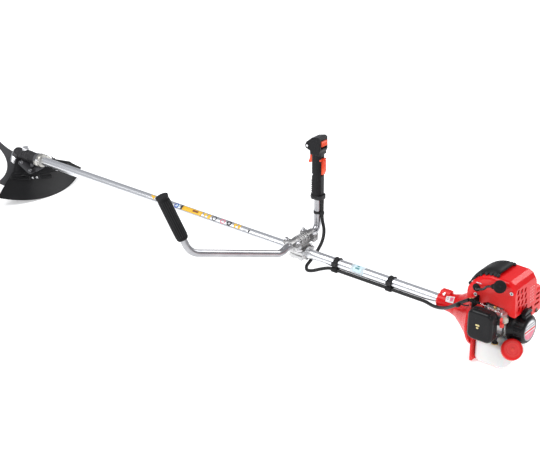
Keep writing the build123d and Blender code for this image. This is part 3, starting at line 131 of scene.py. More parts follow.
# ---------------------------------------------------------------- materials
def finish(name, base, other, rough, metal=0.0, patch=35.0, grain=1500.0, bump=0.08, spread=0.07,
           stretch=(1, 1, 1), worn=None, wear_from=0.54, coat=0.0, soft=0.0, relief=0.1, shine=0.5):
    """Procedural finish: blotchy colour, grain in roughness and bump, and paler worn edges."""
    material = bpy.data.materials.new(name)
    material.use_nodes = True
    tree = material.node_tree
    shader = tree.nodes["Principled BSDF"]

    def node(kind, **values):
        made = tree.nodes.new(kind)
        for key, value in values.items():
            made.inputs[key.replace("_", " ")].default_value = value
        return made

    def spread_out(source, low, high, to_low, to_high):
        made = node("ShaderNodeMapRange", From_Min=low, From_Max=high, To_Min=to_low, To_Max=to_high)
        tree.links.new(source, made.inputs["Value"])
        return made.outputs["Result"]

    def mixed(factor, first, second):
        made = tree.nodes.new("ShaderNodeMix")
        made.data_type = "RGBA"
        tree.links.new(factor, made.inputs["Factor"])
        for socket, value in ((made.inputs["A"], first), (made.inputs["B"], second)):
            if isinstance(value, tuple):
                socket.default_value = (*value, 1)
            else:
                tree.links.new(value, socket)
        return made.outputs["Result"]

    place = tree.nodes.new("ShaderNodeTexCoord")
    scaled = node("ShaderNodeMapping", Scale=stretch)
    tree.links.new(place.outputs["Object"], scaled.inputs["Vector"])
    blotches = node("ShaderNodeTexNoise", Scale=patch, Detail=5.0, Roughness=0.6)
    grains = node("ShaderNodeTexNoise", Scale=grain, Detail=3.0, Roughness=0.55)
    for texture in (blotches, grains):
        tree.links.new(scaled.outputs["Vector"], texture.inputs["Vector"])
    colour = mixed(spread_out(blotches.outputs["Fac"], 0.32, 0.68, 0, 1), base, other)
    if worn:
        geometry = tree.nodes.new("ShaderNodeNewGeometry")
        edges = spread_out(geometry.outputs["Pointiness"], wear_from, wear_from + 0.05, 0, 0.6)
        colour = mixed(edges, colour, worn)
    tree.links.new(colour, shader.inputs["Base Color"])
    low_rough = max(0.03, rough - spread)
    roughness = spread_out(grains.outputs["Fac"], 0.3, 0.7, low_rough, rough + spread)
    tree.links.new(roughness, shader.inputs["Roughness"])
    surface = node("ShaderNodeBump", Strength=bump, Distance=relief * MM)
    tree.links.new(grains.outputs["Fac"], surface.inputs["Height"])
    tree.links.new(surface.outputs["Normal"], shader.inputs["Normal"])
    shader.inputs["Metallic"].default_value = metal
    shader.inputs["Specular IOR Level"].default_value = shine
    shader.inputs["Coat Weight"].default_value = coat
    shader.inputs["Coat Roughness"].default_value = 0.08
    shader.inputs["Subsurface Weight"].default_value = soft
    shader.inputs["Subsurface Scale"].default_value = 0.004
    return material


RED_PAINT = finish(
    "red_enamel", (0.76, 0.004, 0.006), (0.66, 0.003, 0.005), 0.28, grain=700, bump=0.05,
    worn=(0.84, 0.05, 0.05), coat=0.12, shine=0.25,
)
RED_SHELL = finish(
    "red_moulding", (0.82, 0.004, 0.007), (0.74, 0.003, 0.005), 0.30, grain=900, bump=0.05,
    worn=(0.88, 0.06, 0.055), coat=0.10, shine=0.25,
)
CAP_RED = finish(
    "red_cap_moulding", (0.80, 0.012, 0.010), (0.70, 0.010, 0.010), 0.38, grain=1400, bump=0.12,
    worn=(0.9, 0.10, 0.08), coat=0.05, shine=0.25,
)
LEVER_RED = finish(
    "orange_red_moulding", (0.86, 0.065, 0.018), (0.76, 0.05, 0.014), 0.36, grain=1300, bump=0.1,
    worn=(0.95, 0.14, 0.06), coat=0.05, shine=0.25,
)
BLACK_SHELL = finish(
    "black_moulding", (0.0055, 0.0055, 0.0065), (0.0090, 0.0090, 0.0100), 0.30, grain=1100,
    bump=0.12, worn=(0.035, 0.035, 0.037), coat=0.06, shine=0.2,
)
GUARD_BLACK = finish(
    "guard_polymer", (0.0050, 0.0050, 0.0055), (0.0090, 0.0090, 0.0100), 0.42, patch=18, grain=700,
    bump=0.25, worn=(0.04, 0.04, 0.042), relief=0.2, shine=0.2,
)
HANDLE_BLACK = finish(
    "handle_polymer", (0.0060, 0.0060, 0.0070), (0.0100, 0.0100, 0.0115), 0.45, grain=1600,
    bump=0.45, worn=(0.045, 0.045, 0.048), relief=0.25, shine=0.2,
)
RUBBER = finish(
    "black_rubber_skin", (0.0055, 0.0055, 0.0060), (0.0110, 0.0110, 0.0115), 0.62, grain=1900,
    bump=0.5, worn=(0.04, 0.04, 0.042), relief=0.2, shine=0.18,
)
CABLE_SKIN = finish(
    "cable_sheath", (0.0050, 0.0050, 0.0055), (0.0100, 0.0100, 0.0105), 0.40, grain=500, bump=0.3,
    stretch=(0.3, 3, 3), relief=0.25, shine=0.35,
)
PAD_RUBBER = finish(
    "pad_rubber", (0.0065, 0.0065, 0.0075), (0.0130, 0.0130, 0.0140), 0.52, patch=60, grain=1300,
    bump=0.6, worn=(0.06, 0.06, 0.063), relief=0.3, shine=0.2,
)
TUBE_METAL = finish(
    "drawn_aluminium", (0.88, 0.89, 0.91), (0.79, 0.80, 0.83), 0.30, metal=1.0, patch=22, grain=900,
    bump=0.06, stretch=(0.02, 6, 6), spread=0.09,
)
BAR_METAL = finish(
    "bar_aluminium", (0.46, 0.46, 0.47), (0.36, 0.36, 0.38), 0.30, metal=1.0, patch=30, grain=1100,
    bump=0.07, spread=0.08,
)
CAST_METAL = finish(
    "cast_aluminium_skin", (0.38, 0.375, 0.37), (0.24, 0.235, 0.235), 0.46, metal=1.0, patch=70,
    grain=1000, bump=0.55, worn=(0.9, 0.9, 0.9), relief=0.25,
)
CREAM_CAST = finish(
    "clamp_casting", (0.50, 0.49, 0.46), (0.38, 0.37, 0.34), 0.40, metal=0.9, patch=80, grain=1000,
    bump=0.4, worn=(0.75, 0.74, 0.7), relief=0.2,
)
DARK_CAST = finish(
    "dark_casting", (0.018, 0.017, 0.019), (0.036, 0.035, 0.037), 0.52, metal=0.1, patch=90,
    grain=800, bump=0.9, worn=(0.16, 0.16, 0.17), relief=0.45, shine=0.3,
)
BLADE_BLACK = finish(
    "blade_coating", (0.006, 0.006, 0.007), (0.012, 0.012, 0.013), 0.46, patch=25, grain=900,
    bump=0.3, worn=(0.10, 0.10, 0.105), relief=0.15, shine=0.15,
)
MACHINED = finish(
    "machined_steel", (0.62, 0.61, 0.62), (0.45, 0.45, 0.46), 0.28, metal=1.0, patch=60, grain=1300,
    bump=0.12, worn=(0.85, 0.85, 0.86), spread=0.1,
)
ZINC = finish(
    "zinc_plate", (0.76, 0.76, 0.78), (0.62, 0.62, 0.63), 0.26, metal=1.0, patch=160, grain=1500,
    bump=0.15, worn=(0.92, 0.92, 0.94), spread=0.1,
)
BRASS = finish(
    "brass_fitting", (0.74, 0.52, 0.20), (0.58, 0.38, 0.13), 0.30, metal=1.0, patch=200, bump=0.12,
)
HOT_STEEL = finish(
    "heated_steel", (0.20, 0.16, 0.13), (0.34, 0.31, 0.29), 0.45, metal=0.9, patch=45, grain=700,
    bump=0.4, worn=(0.5, 0.48, 0.46), relief=0.2,
)
TANK_WHITE = finish(
    "tank_polymer", (0.86, 0.86, 0.85), (0.78, 0.79, 0.78), 0.33, patch=14, grain=500, bump=0.12,
    soft=0.25,
)
NYLON = finish("nylon_bush", (0.08, 0.08, 0.085), (0.12, 0.12, 0.125), 0.5, grain=900, bump=0.2)
FOAM = finish(
    "filter_foam_cells", (0.10, 0.10, 0.095), (0.2, 0.2, 0.19), 0.95, patch=700, grain=900,
    bump=1.0, relief=0.8,
)
PRIMER_SKIN = finish(
    "primer_skin", (0.62, 0.58, 0.48), (0.5, 0.47, 0.38), 0.3, grain=600, bump=0.08, soft=0.4,
)
LEAD_SKIN = finish(
    "lead_sheath", (0.009, 0.009, 0.010), (0.018, 0.018, 0.019), 0.30, grain=500, bump=0.2,
)
YELLOW_FILM = finish(
    "yellow_film", (0.92, 0.58, 0.03), (0.88, 0.48, 0.02), 0.32, patch=60, bump=0.05, coat=0.3,
)
BLACK_FILM = finish(
    "black_film", (0.012, 0.012, 0.014), (0.022, 0.022, 0.024), 0.34, patch=60, bump=0.05, coat=0.3,
)
BLUE_FILM = finish(
    "blue_film", (0.02, 0.07, 0.42), (0.03, 0.12, 0.5), 0.32, patch=90, bump=0.05, coat=0.3,
)
SKY_FILM = finish(
    "pale_blue_film", (0.60, 0.80, 0.88), (0.70, 0.86, 0.92), 0.34, patch=70, bump=0.05, coat=0.3,
)
TEAL_FILM = finish(
    "teal_film", (0.03, 0.20, 0.22), (0.05, 0.30, 0.30), 0.34, patch=90, bump=0.05, coat=0.3,
)
PINK_FILM = finish(
    "pink_film", (0.80, 0.12, 0.22), (0.86, 0.24, 0.32), 0.32, patch=90, bump=0.05, coat=0.3,
)
WHITE_FILM = finish(
    "white_film", (0.86, 0.86, 0.86), (0.78, 0.79, 0.80), 0.34, patch=90, bump=0.05, coat=0.3,
)
GREY_FILM = finish(
    "grey_film", (0.30, 0.31, 0.33), (0.42, 0.43, 0.45), 0.34, patch=90, bump=0.05, coat=0.3,
)
BROWN_FILM = finish(
    "brown_film", (0.22, 0.07, 0.02), (0.30, 0.10, 0.03), 0.34, patch=90, bump=0.05, coat=0.3,
)
GOLD_FILM = finish(
    "pale_gold_film", (0.72, 0.62, 0.30), (0.6, 0.5, 0.22), 0.3, metal=0.5, patch=120, bump=0.08,
)
WIRE_SKIN = finish(
    "pale_wire_sheath", (0.66, 0.54, 0.24), (0.54, 0.42, 0.18), 0.35, patch=120, bump=0.1,
)

NODE_FINISHES = (
    (RED_PAINT, "clutch_housing", "tank_stand"),
    (RED_SHELL, "engine_shroud", "muffler_guard"),
    (CAP_RED, "fuel_cap", "choke_lever"),
    (LEVER_RED, "stop_switch", "throttle_trigger", "lock_lever"),
    (GUARD_BLACK, "guard"),
    (HANDLE_BLACK, "handle_left_half", "handle_right_half"),
    (BLACK_SHELL, "air_cleaner_base", "air_cleaner_cover", "starter_case", "rope_handle", "starter_pulley"),
    (RUBBER, "left_grip", "plug_cap", "cable_clips"),
    (CABLE_SKIN, "throttle_cable", "fuel_hose"),
    (LEAD_SKIN, "ht_lead"),
    (PAD_RUBBER, "top_pad"),
    (PRIMER_SKIN, "primer_bulb"),
    (TUBE_METAL, "outer_tube"),
    (BAR_METAL, "handlebar"),
    (CAST_METAL, "bracket_base", "bracket_body", "bracket_cap", "crankcase", "cylinder", "carburettor",
     "piston", "flywheel"),
    (DARK_CAST, "gear_case", "guard_bracket"),
    (BLADE_BLACK, "blade"),
    (MACHINED, "drive_shaft", "pinion", "output_gear", "arbor", "head_bearings", "engine_bearings",
     "clutch_drum", "clutch_shoes", "crankshaft", "connecting_rod", "spark_plug", "throttle_arm"),
    (ZINC, "head_bolts", "handle_screws", "housing_bolts", "arbor_nut", "clamp_washer", "blade_holder"),
    (HOT_STEEL, "muffler"),
    (TANK_WHITE, "fuel_tank"),
    (NYLON, "shaft_bushes"),
    (FOAM, "air_filter"),
)


def dress_nodes():
    """Give every CAD node its finish."""
    for material, *names in NODE_FINISHES:
        for name in names:
            slots = nodes[name].data.materials
            slots.clear()
            slots.append(material)


# ---------------------------------------------------------------- mesh helpers
def piece(name, body, slot, points, faces, materials, face_materials=None, smooth=True):
    """Mesh piece from points in millimetres, riding on a body."""
    mesh = bpy.data.meshes.new(name)
    mesh.from_pydata([Vector(point) * MM for point in points], [], faces)
    for material in materials:
        mesh.materials.append(material)
    if face_materials:
        mesh.polygons.foreach_set("material_index", face_materials)
    form = bmesh.new()
    form.from_mesh(mesh)
    bmesh.ops.remove_doubles(form, verts=form.verts, dist=1e-7)
    bmesh.ops.recalc_face_normals(form, faces=form.faces)
    form.to_mesh(mesh)
    form.free()
    mesh.polygons.foreach_set("use_smooth", [smooth] * len(mesh.polygons))
    made = bpy.data.objects.new(name, mesh)
    bpy.context.scene.collection.objects.link(made)
    if body:
        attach(made, body)
    return made


def side_of(direction):
    """Two directions square to a direction and to each other."""
    direction = Vector(direction).normalized()
    rough_side = UP if abs(direction.z) < 0.9 else EAST
    first = direction.cross(rough_side).normalized()
    return first, direction.cross(first)


def lathe(origin, direction, outline, turns=40):
    """Points and faces of an outline of (distance along, radius) turned about an axis."""
    origin = Vector(origin)
    direction = Vector(direction).normalized()
    first, second = side_of(direction)
    points = []
    for along, radius in outline:
        for turn in range(turns):
            angle = 2 * math.pi * turn / turns
            outward = first * math.cos(angle) + second * math.sin(angle)
            points.append(origin + direction * along + outward * radius)
    faces = []
    for level in range(len(outline) - 1):
        for turn in range(turns):
            following = (turn + 1) % turns
            faces.append((level * turns + turn, level * turns + following,
                          (level + 1) * turns + following, (level + 1) * turns + turn))
    if outline[0][1] > 0.001:
        faces.append(tuple(reversed(range(turns))))
    if outline[-1][1] > 0.001:
        faces.append(tuple(range((len(outline) - 1) * turns, len(outline) * turns)))
    return points, faces


def joined(parts):
    """One list of points and faces from several."""
    points = []
    faces = []
    for part_points, part_faces in parts:
        shift = len(points)
        points += part_points
        faces += [tuple(index + shift for index in face) for face in part_faces]
    return points, faces


def film(outline, place, inner=0.0, rings=4, lift=FILM_LIFT):
    """Thin closed patch: a star-shaped outline laid on a surface by the function place(u, v, height)."""
    middle_u = sum(point[0] for point in outline) / len(outline)
    middle_v = sum(point[1] for point in outline) / len(outline)
    count = len(outline)
    points = []
    for height in (0.0, lift):
        for ring in range(rings + 1):
            share = max(inner, 0.001) + (1 - max(inner, 0.001)) * ring / rings
            for u, v in outline:
                ring_u = middle_u + (u - middle_u) * share
                ring_v = middle_v + (v - middle_v) * share
                points.append(place(ring_u, ring_v, height))
    faces = []
    layer = (rings + 1) * count
    for ring in range(rings):
        for spot in range(count):
            following = (spot + 1) % count
            low = (ring * count + spot, ring * count + following, (ring + 1) * count + following,
                   (ring + 1) * count + spot)
            faces.append(low)
            faces.append(tuple(layer + index for index in reversed(low)))
    for ring in (0, rings):
        for spot in range(count):
            following = (spot + 1) % count
            faces.append((ring * count + spot, ring * count + following, layer + ring * count + following,
                          layer + ring * count + spot))
    return points, faces


def oval(u, v, half_u, half_v, count=28):
    """Outline of an ellipse."""
    angles = [2 * math.pi * step / count for step in range(count)]
    return [(u + half_u * math.cos(angle), v + half_v * math.sin(angle)) for angle in angles]


def filled_out(corners, step=1.5):
    """Polygon with extra points along its sides, so that it can bend."""
    outline = []
    for start, end in zip(corners, corners[1:] + corners[:1]):
        count = max(1, round(math.dist(start, end) / step))
        for number in range(count):
            share = number / count
            outline.append((start[0] + (end[0] - start[0]) * share, start[1] + (end[1] - start[1]) * share))
    return outline


def rounded(u, v, half_u, half_v, radius):
    """Outline of a rectangle with round corners."""
    corners = []
    for corner, (sign_u, sign_v) in enumerate(((1, 1), (-1, 1), (-1, -1), (1, -1))):
        for step in range(5):
            angle = math.pi / 2 * (corner + step / 4)
            corners.append((u + sign_u * (half_u - radius) + radius * math.cos(angle),
                            v + sign_v * (half_v - radius) + radius * math.sin(angle)))
    return filled_out(corners)


def films(name, body, slot, place, shapes):
    """One piece from several coloured patches: (material, outline, inner share, height)."""
    materials = []
    parts = []
    face_materials = []
    for material, outline, inner, height in shapes:
        if material not in materials:
            materials.append(material)
        raised = film(outline, lambda u, v, lift, height=height: place(u, v, lift + height), inner)
        parts.append(raised)
        face_materials += [materials.index(material)] * len(raised[1])
    points, faces = joined(parts)
    return piece(name, body, slot, points, faces, materials, face_materials)


def line(name, body, points, radius, material, cyclic=False, order=3):
    """Round wire or bead along a smooth curve."""
    data = bpy.data.curves.new(name, "CURVE")
    data.dimensions = "3D"
    data.bevel_depth = radius * MM
    data.bevel_resolution = 3
    data.use_fill_caps = True
    spline = data.splines.new("NURBS")
    spline.points.add(len(points) - 1)
    for spot, point in zip(spline.points, points):
        spot.co = (*(Vector(point) * MM), 1)
    spline.order_u = order
    spline.use_endpoint_u = not cyclic
    spline.use_cyclic_u = cyclic
    spline.resolution_u = 6
    data.materials.append(material)
    made = bpy.data.objects.new(name, data)
    bpy.context.scene.collection.objects.link(made)
    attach(made, body)
    return made


def flat_place(origin, u_direction, v_direction):
    """Lays (u, v, height) on a flat face."""
    origin = Vector(origin)
    u_direction = Vector(u_direction).normalized()
    v_direction = Vector(v_direction).normalized()
    normal = u_direction.cross(v_direction)
    return lambda u, v, height: origin + u_direction * u + v_direction * v + normal * height


def round_place(radius_at, middle_angle, axis_z=TUBE_Z):
    """Lays (x, arc, height) round an axis along X. The angle is from straight up towards the left."""
    def place(x, arc, height):
        radius = radius_at(x)
        angle = middle_angle + arc / radius
        reach = radius + height
        return Vector((x, -reach * math.sin(angle), axis_z + reach * math.cos(angle)))
    return place


# ---------------------------------------------------------------- colour marks on the drive tube
def tube_marks():
    """Generic colour blocks, rings and wedges along the drive tube, with no lettering."""
    band = round_place(lambda x: TUBE_R, math.radians(32))
    arc_stretch = 1.22

    def place(x, arc, height):
        return band(x, arc * arc_stretch, height)

    shapes = [
        (YELLOW_FILM, filled_out([(-1136, -5), (-1117, -5), (-1117, 6)]), 0, 0.04),
        (BLUE_FILM, oval(-1034, 0, 8, 6.5), 0.55, 0.04),
        (SKY_FILM, oval(-1029, 0, 6, 4.5), 0, 0.02),
        (BLACK_FILM, filled_out([(-1019, -6), (-1012, -6), (-1012, 6), (-1019, 6)]), 0, 0.04),
        (YELLOW_FILM, filled_out([(-1012, -6), (-941, -6), (-941, 6), (-1012, 6)]), 0, 0.04),
        (YELLOW_FILM, filled_out([(-937, -5.5), (-923, -5.5), (-930, 6)]), 0, 0.04),
        (YELLOW_FILM, filled_out([(-920, -5.5), (-910, -5.5), (-910, 6), (-920, 6)]), 0, 0.04),
        (BLACK_FILM, oval(-896, 0, 8, 6), 0.66, 0.04),
        (PINK_FILM, oval(-866, 0, 8.5, 6), 0.66, 0.04),
        (BLACK_FILM, oval(-844, -0.5, 8.5, 6.5), 0.45, 0.04),
        (BROWN_FILM, filled_out([(-975, -3), (-955, -3), (-955, 2), (-975, 2)]), 0, 0.2),
        (YELLOW_FILM, filled_out([(-829, -5.5), (-817, -5.5), (-820, 6), (-824, 6)]), 0, 0.04),
        (YELLOW_FILM, filled_out([(-814, -5.5), (-804, -5.5), (-804, 5), (-812, 5)]), 0, 0.04),
        (GREY_FILM, filled_out([(-791, -4), (-783, -4), (-783, 4), (-791, 4)]), 0.6, 0.04),
        (BLACK_FILM, oval(-773, 2, 3.2, 3.2), 0, 0.04),
        (GREY_FILM, oval(-777, -2, 2.6, 2.6), 0.5, 0.04),
    ]
    films("tube_marks", "machine", "tube_aluminium", place, shapes)
    wrap = round_place(lambda x: TUBE_R, math.radians(28))
    sticker = [
        (SKY_FILM, rounded(-415, 0, 20, 19.5, 7), 0, 0.02),
        (WHITE_FILM, rounded(-415, 0, 17, 16.5, 6), 0, 0.16),
        (SKY_FILM, rounded(-415, 0, 14.5, 14, 5), 0, 0.3),
        (TEAL_FILM, rounded(-415, 3, 6.5, 2.2, 1.5), 0, 0.44),
        (TEAL_FILM, rounded(-415, -4, 4.0, 1.6, 1.2), 0, 0.44),
    ]
    films("tube_sticker", "machine", "tube_aluminium", wrap, sticker)
    lane = round_place(lambda x: TUBE_R, math.radians(30))
    dot_places = ((-702, 3), (-690, -4), (-664, 3), (-180, 2))
    dots = [(GREY_FILM, oval(x, arc, 2.2, 1.2), 0, 0.04) for x, arc in dot_places]
    films("tube_dots", "machine", "tube_aluminium", lane, dots)


# ---------------------------------------------------------------- straps on the tube
def strap_bands():
    """Raised bands and buckle bars on the two cable straps."""
    parts = []
    radius = TUBE_R + 2
    for strap_x in (-490.0, -321.0):
        for edge_x in (strap_x + 0.2, strap_x + 11.3):
            outline = [(0, radius - 1), (0, radius + 0.9), (0.6, radius + 1.3), (2.0, radius + 1.3),
                       (2.6, radius + 0.9), (2.6, radius - 1)]
            parts.append(lathe((edge_x, 0, TUBE_Z), EAST, outline, 64))
        for angle in (8, 34, 60):
            turn = math.radians(angle)
            spot = Vector((strap_x + 2, -radius * math.sin(turn), TUBE_Z + radius * math.cos(turn)))
            parts.append(lathe(spot, EAST, [(0, 0.2), (0.2, 1.1), (9.8, 1.1), (10, 0.2)], 14))
        parts.append(lathe((strap_x - 1.2, CABLE_Y, CABLE_Z), EAST,
                           [(0, 5.2), (0, 7.2), (1, 7.8), (15.4, 7.8), (16.4, 7.2), (16.4, 5.2)], 40))
    points, faces = joined(parts)
    piece("strap_bands", "machine", "black_rubber", points, faces, [RUBBER])


# ---------------------------------------------------------------- painted shade in the screw sockets, and collars round them
def socket_shade_and_rims():
    """Dark hexagons painted on the screw heads as shade in their sockets, and bevelled collars round them.
    """
    ring_x = COLLAR_X + 8
    spots = [(Vector((ring_x, side, TUBE_Z + 10.5)), UP, 4.5) for side in (-20.5, 20.5)]
    spots += [(GEAR_CENTRE + OUTPUT_REAR * along + Vector((0, side, 0)) + OUTPUT * 0.6, OUTPUT, 4.8)
              for along in (36.0, 76.0) for side in (-22.0, 22.0)]
    for lug_y in (-42.0, 30.0):
        for step in (-18.5, 18.5):
            spots.append((Vector((BRACKET_X + step, lug_y, TUBE_Z + 50)), UP, 4.4))
    for x, z in ((-44.0, 182.0), (52.0, 214.0)):
        spots.append((Vector((x, -50.0, z)), LEFT, 4.5))
    spots += [(Vector((x, 98.5, 173.5)), -LEFT, 4.0) for x in (-6.0, 42.0)]
    dark = []
    bright = []
    for place, direction, radius in spots:
        # Flat dark hexagon on each head: painted shade standing in for the hollow of the socket.
        socket = [(0, 0.001), (0, radius * 0.5), (0.12, radius * 0.5), (0.12, 0.001)]
        dark.append(lathe(place + direction * 0.03, direction, socket, 6))
        rim = [(0, radius * 0.58), (0, radius + 0.12), (0.35, radius + 0.12), (0.65, radius - 0.25),
               (0.65, radius * 0.66), (0.42, radius * 0.58), (0, radius * 0.58)]
        bright.append(lathe(place - direction * 0.4, direction, rim, 28))
    points, faces = joined(dark)
    piece("screw_socket_shade", "machine", "fasteners", points, faces, [BLACK_FILM], smooth=False)
    points, faces = joined(bright)
    piece("screw_rims", "machine", "fasteners", points, faces, [ZINC])


# ---------------------------------------------------------------- guard
def guard_surface():
    """Function that drops a point of the gear head's plane onto the guard."""
    mesh = nodes["guard"].data
    corners = [vertex.co for vertex in mesh.vertices]
    tree = BVHTree.FromPolygons(corners, [polygon.vertices for polygon in mesh.polygons])

    def place(u, v, height):
        flat = GEAR_CENTRE + OUTPUT_REAR * u + Vector((0, v, 0))
        hit, normal, _, _ = tree.ray_cast((flat + OUTPUT * 30) * MM, -OUTPUT)
        if hit is None:
            return flat + OUTPUT * (height - 10)
        if normal.dot(OUTPUT) < 0:
            normal = -normal
        return hit / MM + normal * height

    return place


def polar(radius, degrees):
    """Point of the gear head's plane, round the centre of the guard's shoulder."""
    angle = math.radians(degrees)
    return -174 + radius * math.cos(angle), 90 + radius * math.sin(angle)


def guard_details():
    """Raised borders of the guard's two channels, the bead along its step and its small bolts."""
    place = guard_surface()
    inner, outer = 286.5, 296.5

    def channel(low, high, first, last):
        """Closed outline between two radii and two angles round the guard's centre."""
        shares = [step / 6 for step in range(7)]
        outline = [polar(low, first + (last - first) * share) for share in shares]
        return outline + [polar(high, last - (last - first) * share) for share in shares]

    for number, (first, last) in enumerate(((-36.3, -24.8), (-18.6, -10.4))):
        wall = [place(u, v, 0.5) for u, v in channel(inner, outer, first, last)]
        line(f"guard_channel_{number}", "machine", wall, 2.0, BLACK_SHELL, cyclic=True, order=2)
        outline = channel(inner + CHANNEL_INSET, outer - CHANNEL_INSET, first + 1, last - 1)
        bead = [place(u, v, 0.2) for u, v in outline]
        name = f"guard_channel_bead_{number}"
        line(name, "machine", bead, 1.1, BLACK_SHELL, cyclic=True, order=2)
    step_line = [place(*polar(279, degrees), 0.2) for degrees in range(-34, 7, 4)]
    line("guard_step_bead", "machine", step_line, 1.8, BLACK_SHELL)
    bolts = []
    bolt = [(0, 4.2), (1.4, 4.2), (2.0, 3.6), (2.2, 2.6), (1.6, 2.3), (1.5, 0.001)]
    for degrees, radius in ((-22.9, 291), (-20.2, 291), (-5.3, 281)):
        spot = place(*polar(radius, degrees), 0)
        bolts.append(lathe(spot - OUTPUT, OUTPUT, bolt, 28))
    points, faces = joined(bolts)
    piece("guard_bolts", "machine", "fasteners", points, faces, [ZINC])


# ---------------------------------------------------------------- gear case
def case_details():
    """Cast ribs on the gear case, and the pale clamp ring round the tube behind it."""
    ribs = []
    rib = [(0, 15.8), (0.4, 17.2), (1.0, 17.5), (2.0, 17.5), (2.6, 17.2), (3.0, 15.8)]
    for setback in (69.0, 60.0, 51.0, 42.0):
        ribs.append(lathe((COLLAR_X - setback, 0, TUBE_Z), EAST, rib, 48))
    points, faces = joined(ribs)
    piece("case_ribs", "machine", "dark_casting", points, faces, [DARK_CAST])
    shell = [(0, 17.4), (0, 19.8), (0.8, 20.6), (9, 20.6), (13.6, 19.6), (14.6, 18.6), (14.6, 17.4)]
    parts = [lathe((COLLAR_X + 0.7, 0, TUBE_Z), EAST, shell, 64)]
    ear_place = flat_place((COLLAR_X + 0.6, 0, TUBE_Z), -LEFT, UP)
    for side in (-21.5, 21.5):
        parts.append(film(rounded(side, 0, 6.4, 6.6, 2.5), ear_place, lift=14.8))
    points, faces = joined(parts)
    piece("clamp_shell", "machine", "cast_aluminium", points, faces, [CREAM_CAST])


# ---------------------------------------------------------------- bracket
def bracket_details():
    """Long ridges on the handlebar clamp, and washers under its screws."""
    low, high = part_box("bracket_cap")
    middle_y = (low.y + high.y) / 2 / MM
    axis_z = TUBE_Z + 35
    ridges = []
    reach = 14.2
    for degrees in (-52, -30, -8, 14, 36, 58):
        turn = math.radians(degrees)
        spot = Vector((BRACKET_X + reach * math.sin(turn), middle_y - 22, axis_z + reach * math.cos(turn)))
        ridges.append(lathe(spot, -LEFT, [(0, 0.2), (1.5, 1.2), (42.5, 1.2), (44, 0.2)], 14))
    points, faces = joined(ridges)
    piece("bracket_ridges", "machine", "cast_aluminium", points, faces, [CAST_METAL])
    wings = []
    for lug_y in (-42.0, 30.0):
        for step in (-18.5, 18.5):
            spot = Vector((BRACKET_X + step, lug_y, TUBE_Z + 44.1))
            wings.append(lathe(spot, UP, [(0, 5.2), (0.2, 6.0), (1.2, 6.2), (1.6, 5.2), (1.6, 4.3)], 28))
    points, faces = joined(wings)
    piece("bracket_washers", "machine", "fasteners", points, faces, [ZINC])


# ---------------------------------------------------------------- left grip
def grip_ribs():
    """Raised lengthwise ribs between the grip's end flanges."""
    bend = Vector((-685, -347, 209))
    end = Vector((-739, -383, 358))
    along = (end - bend).normalized()
    start = end + along * 4.5 - along * 126
    first, second = side_of(along)
    ribs = []
    count = 18
    for number in range(count):
        turn = 2 * math.pi * number / count
        spot = start + along * 7 + (first * math.cos(turn) + second * math.sin(turn)) * 14.9
        ribs.append(lathe(spot, along, [(0, 0.1), (2.5, 0.9), (103, 0.9), (106, 0.1)], 8))
    end_ring = [(-0.2, 12.6), (0.2, 12.2), (0.2, 10.4), (-0.2, 10.0)]
    ribs.append(lathe(start + along * 126, along, end_ring, 40))
    points, faces = joined(ribs)
    piece("grip_ribs", "machine", "black_rubber", points, faces, [RUBBER])


# ---------------------------------------------------------------- throttle handle
def handle_frame():
    """Origin and directions of the throttle handle: rearward, up the stem and out to the left."""
    foot = Vector((BRACKET_X, 68, 141))
    stem = (Vector((BRACKET_X - 4, 72, 296)) - foot).normalized()
    base = foot + stem * ((TUBE_Z + 128 - 141) / stem.z)
    rear = (EAST - stem * EAST.dot(stem)).normalized()
    return base, rear, stem, rear.cross(stem)


def handle_details():
    """Ribs on the levers and the switch, and two rows of small ribs along the handle."""
    base, rear, stem, side = handle_frame()

    def spot(back, height, out=0.0):
        return base + rear * back + stem * height + side * out

    ribs = [lathe(spot(22.2, height, -4.4), side, [(0, 0.1), (0.4, 0.7), (8.4, 0.7), (8.8, 0.1)], 10)
            for height in (84.5, 88.5, 92.5, 96.5, 100.5)]
    points, faces = joined(ribs)
    piece("lock_lever_ribs", "trigger_lock", "lever_red", points, faces, [LEVER_RED])
    ribs = [lathe(spot(back, height, -4.4), side, [(0, 0.1), (0.4, 0.7), (8.4, 0.7), (8.8, 0.1)], 10)
            for back, height in ((-26.4, 101), (-25.0, 104.5), (-23.6, 108), (-23.1, 112))]
    points, faces = joined(ribs)
    piece("trigger_ribs", "trigger", "lever_red", points, faces, [LEVER_RED])
    ribs = [lathe(spot(20.9, height, -9), side, [(0, 0.1), (0.5, 0.6), (17.5, 0.6), (18, 0.1)], 10)
            for height in (153.0, 156.2, 159.4)]
    points, faces = joined(ribs)
    piece("switch_ribs", "switch", "stop_red", points, faces, [LEVER_RED])
    bumps = []
    bump = [(0, 0.1), (0.8, 0.8), (3.2, 0.8), (4, 0.1)]
    for height in range(14, 56, 6):
        for out in (-1, 1):
            bumps.append(lathe(spot(-10.5, height, out * 14.2), stem, bump, 10))
    points, faces = joined(bumps)
    piece("handle_ribs", "machine", "black_plastic", points, faces, [HANDLE_BLACK])


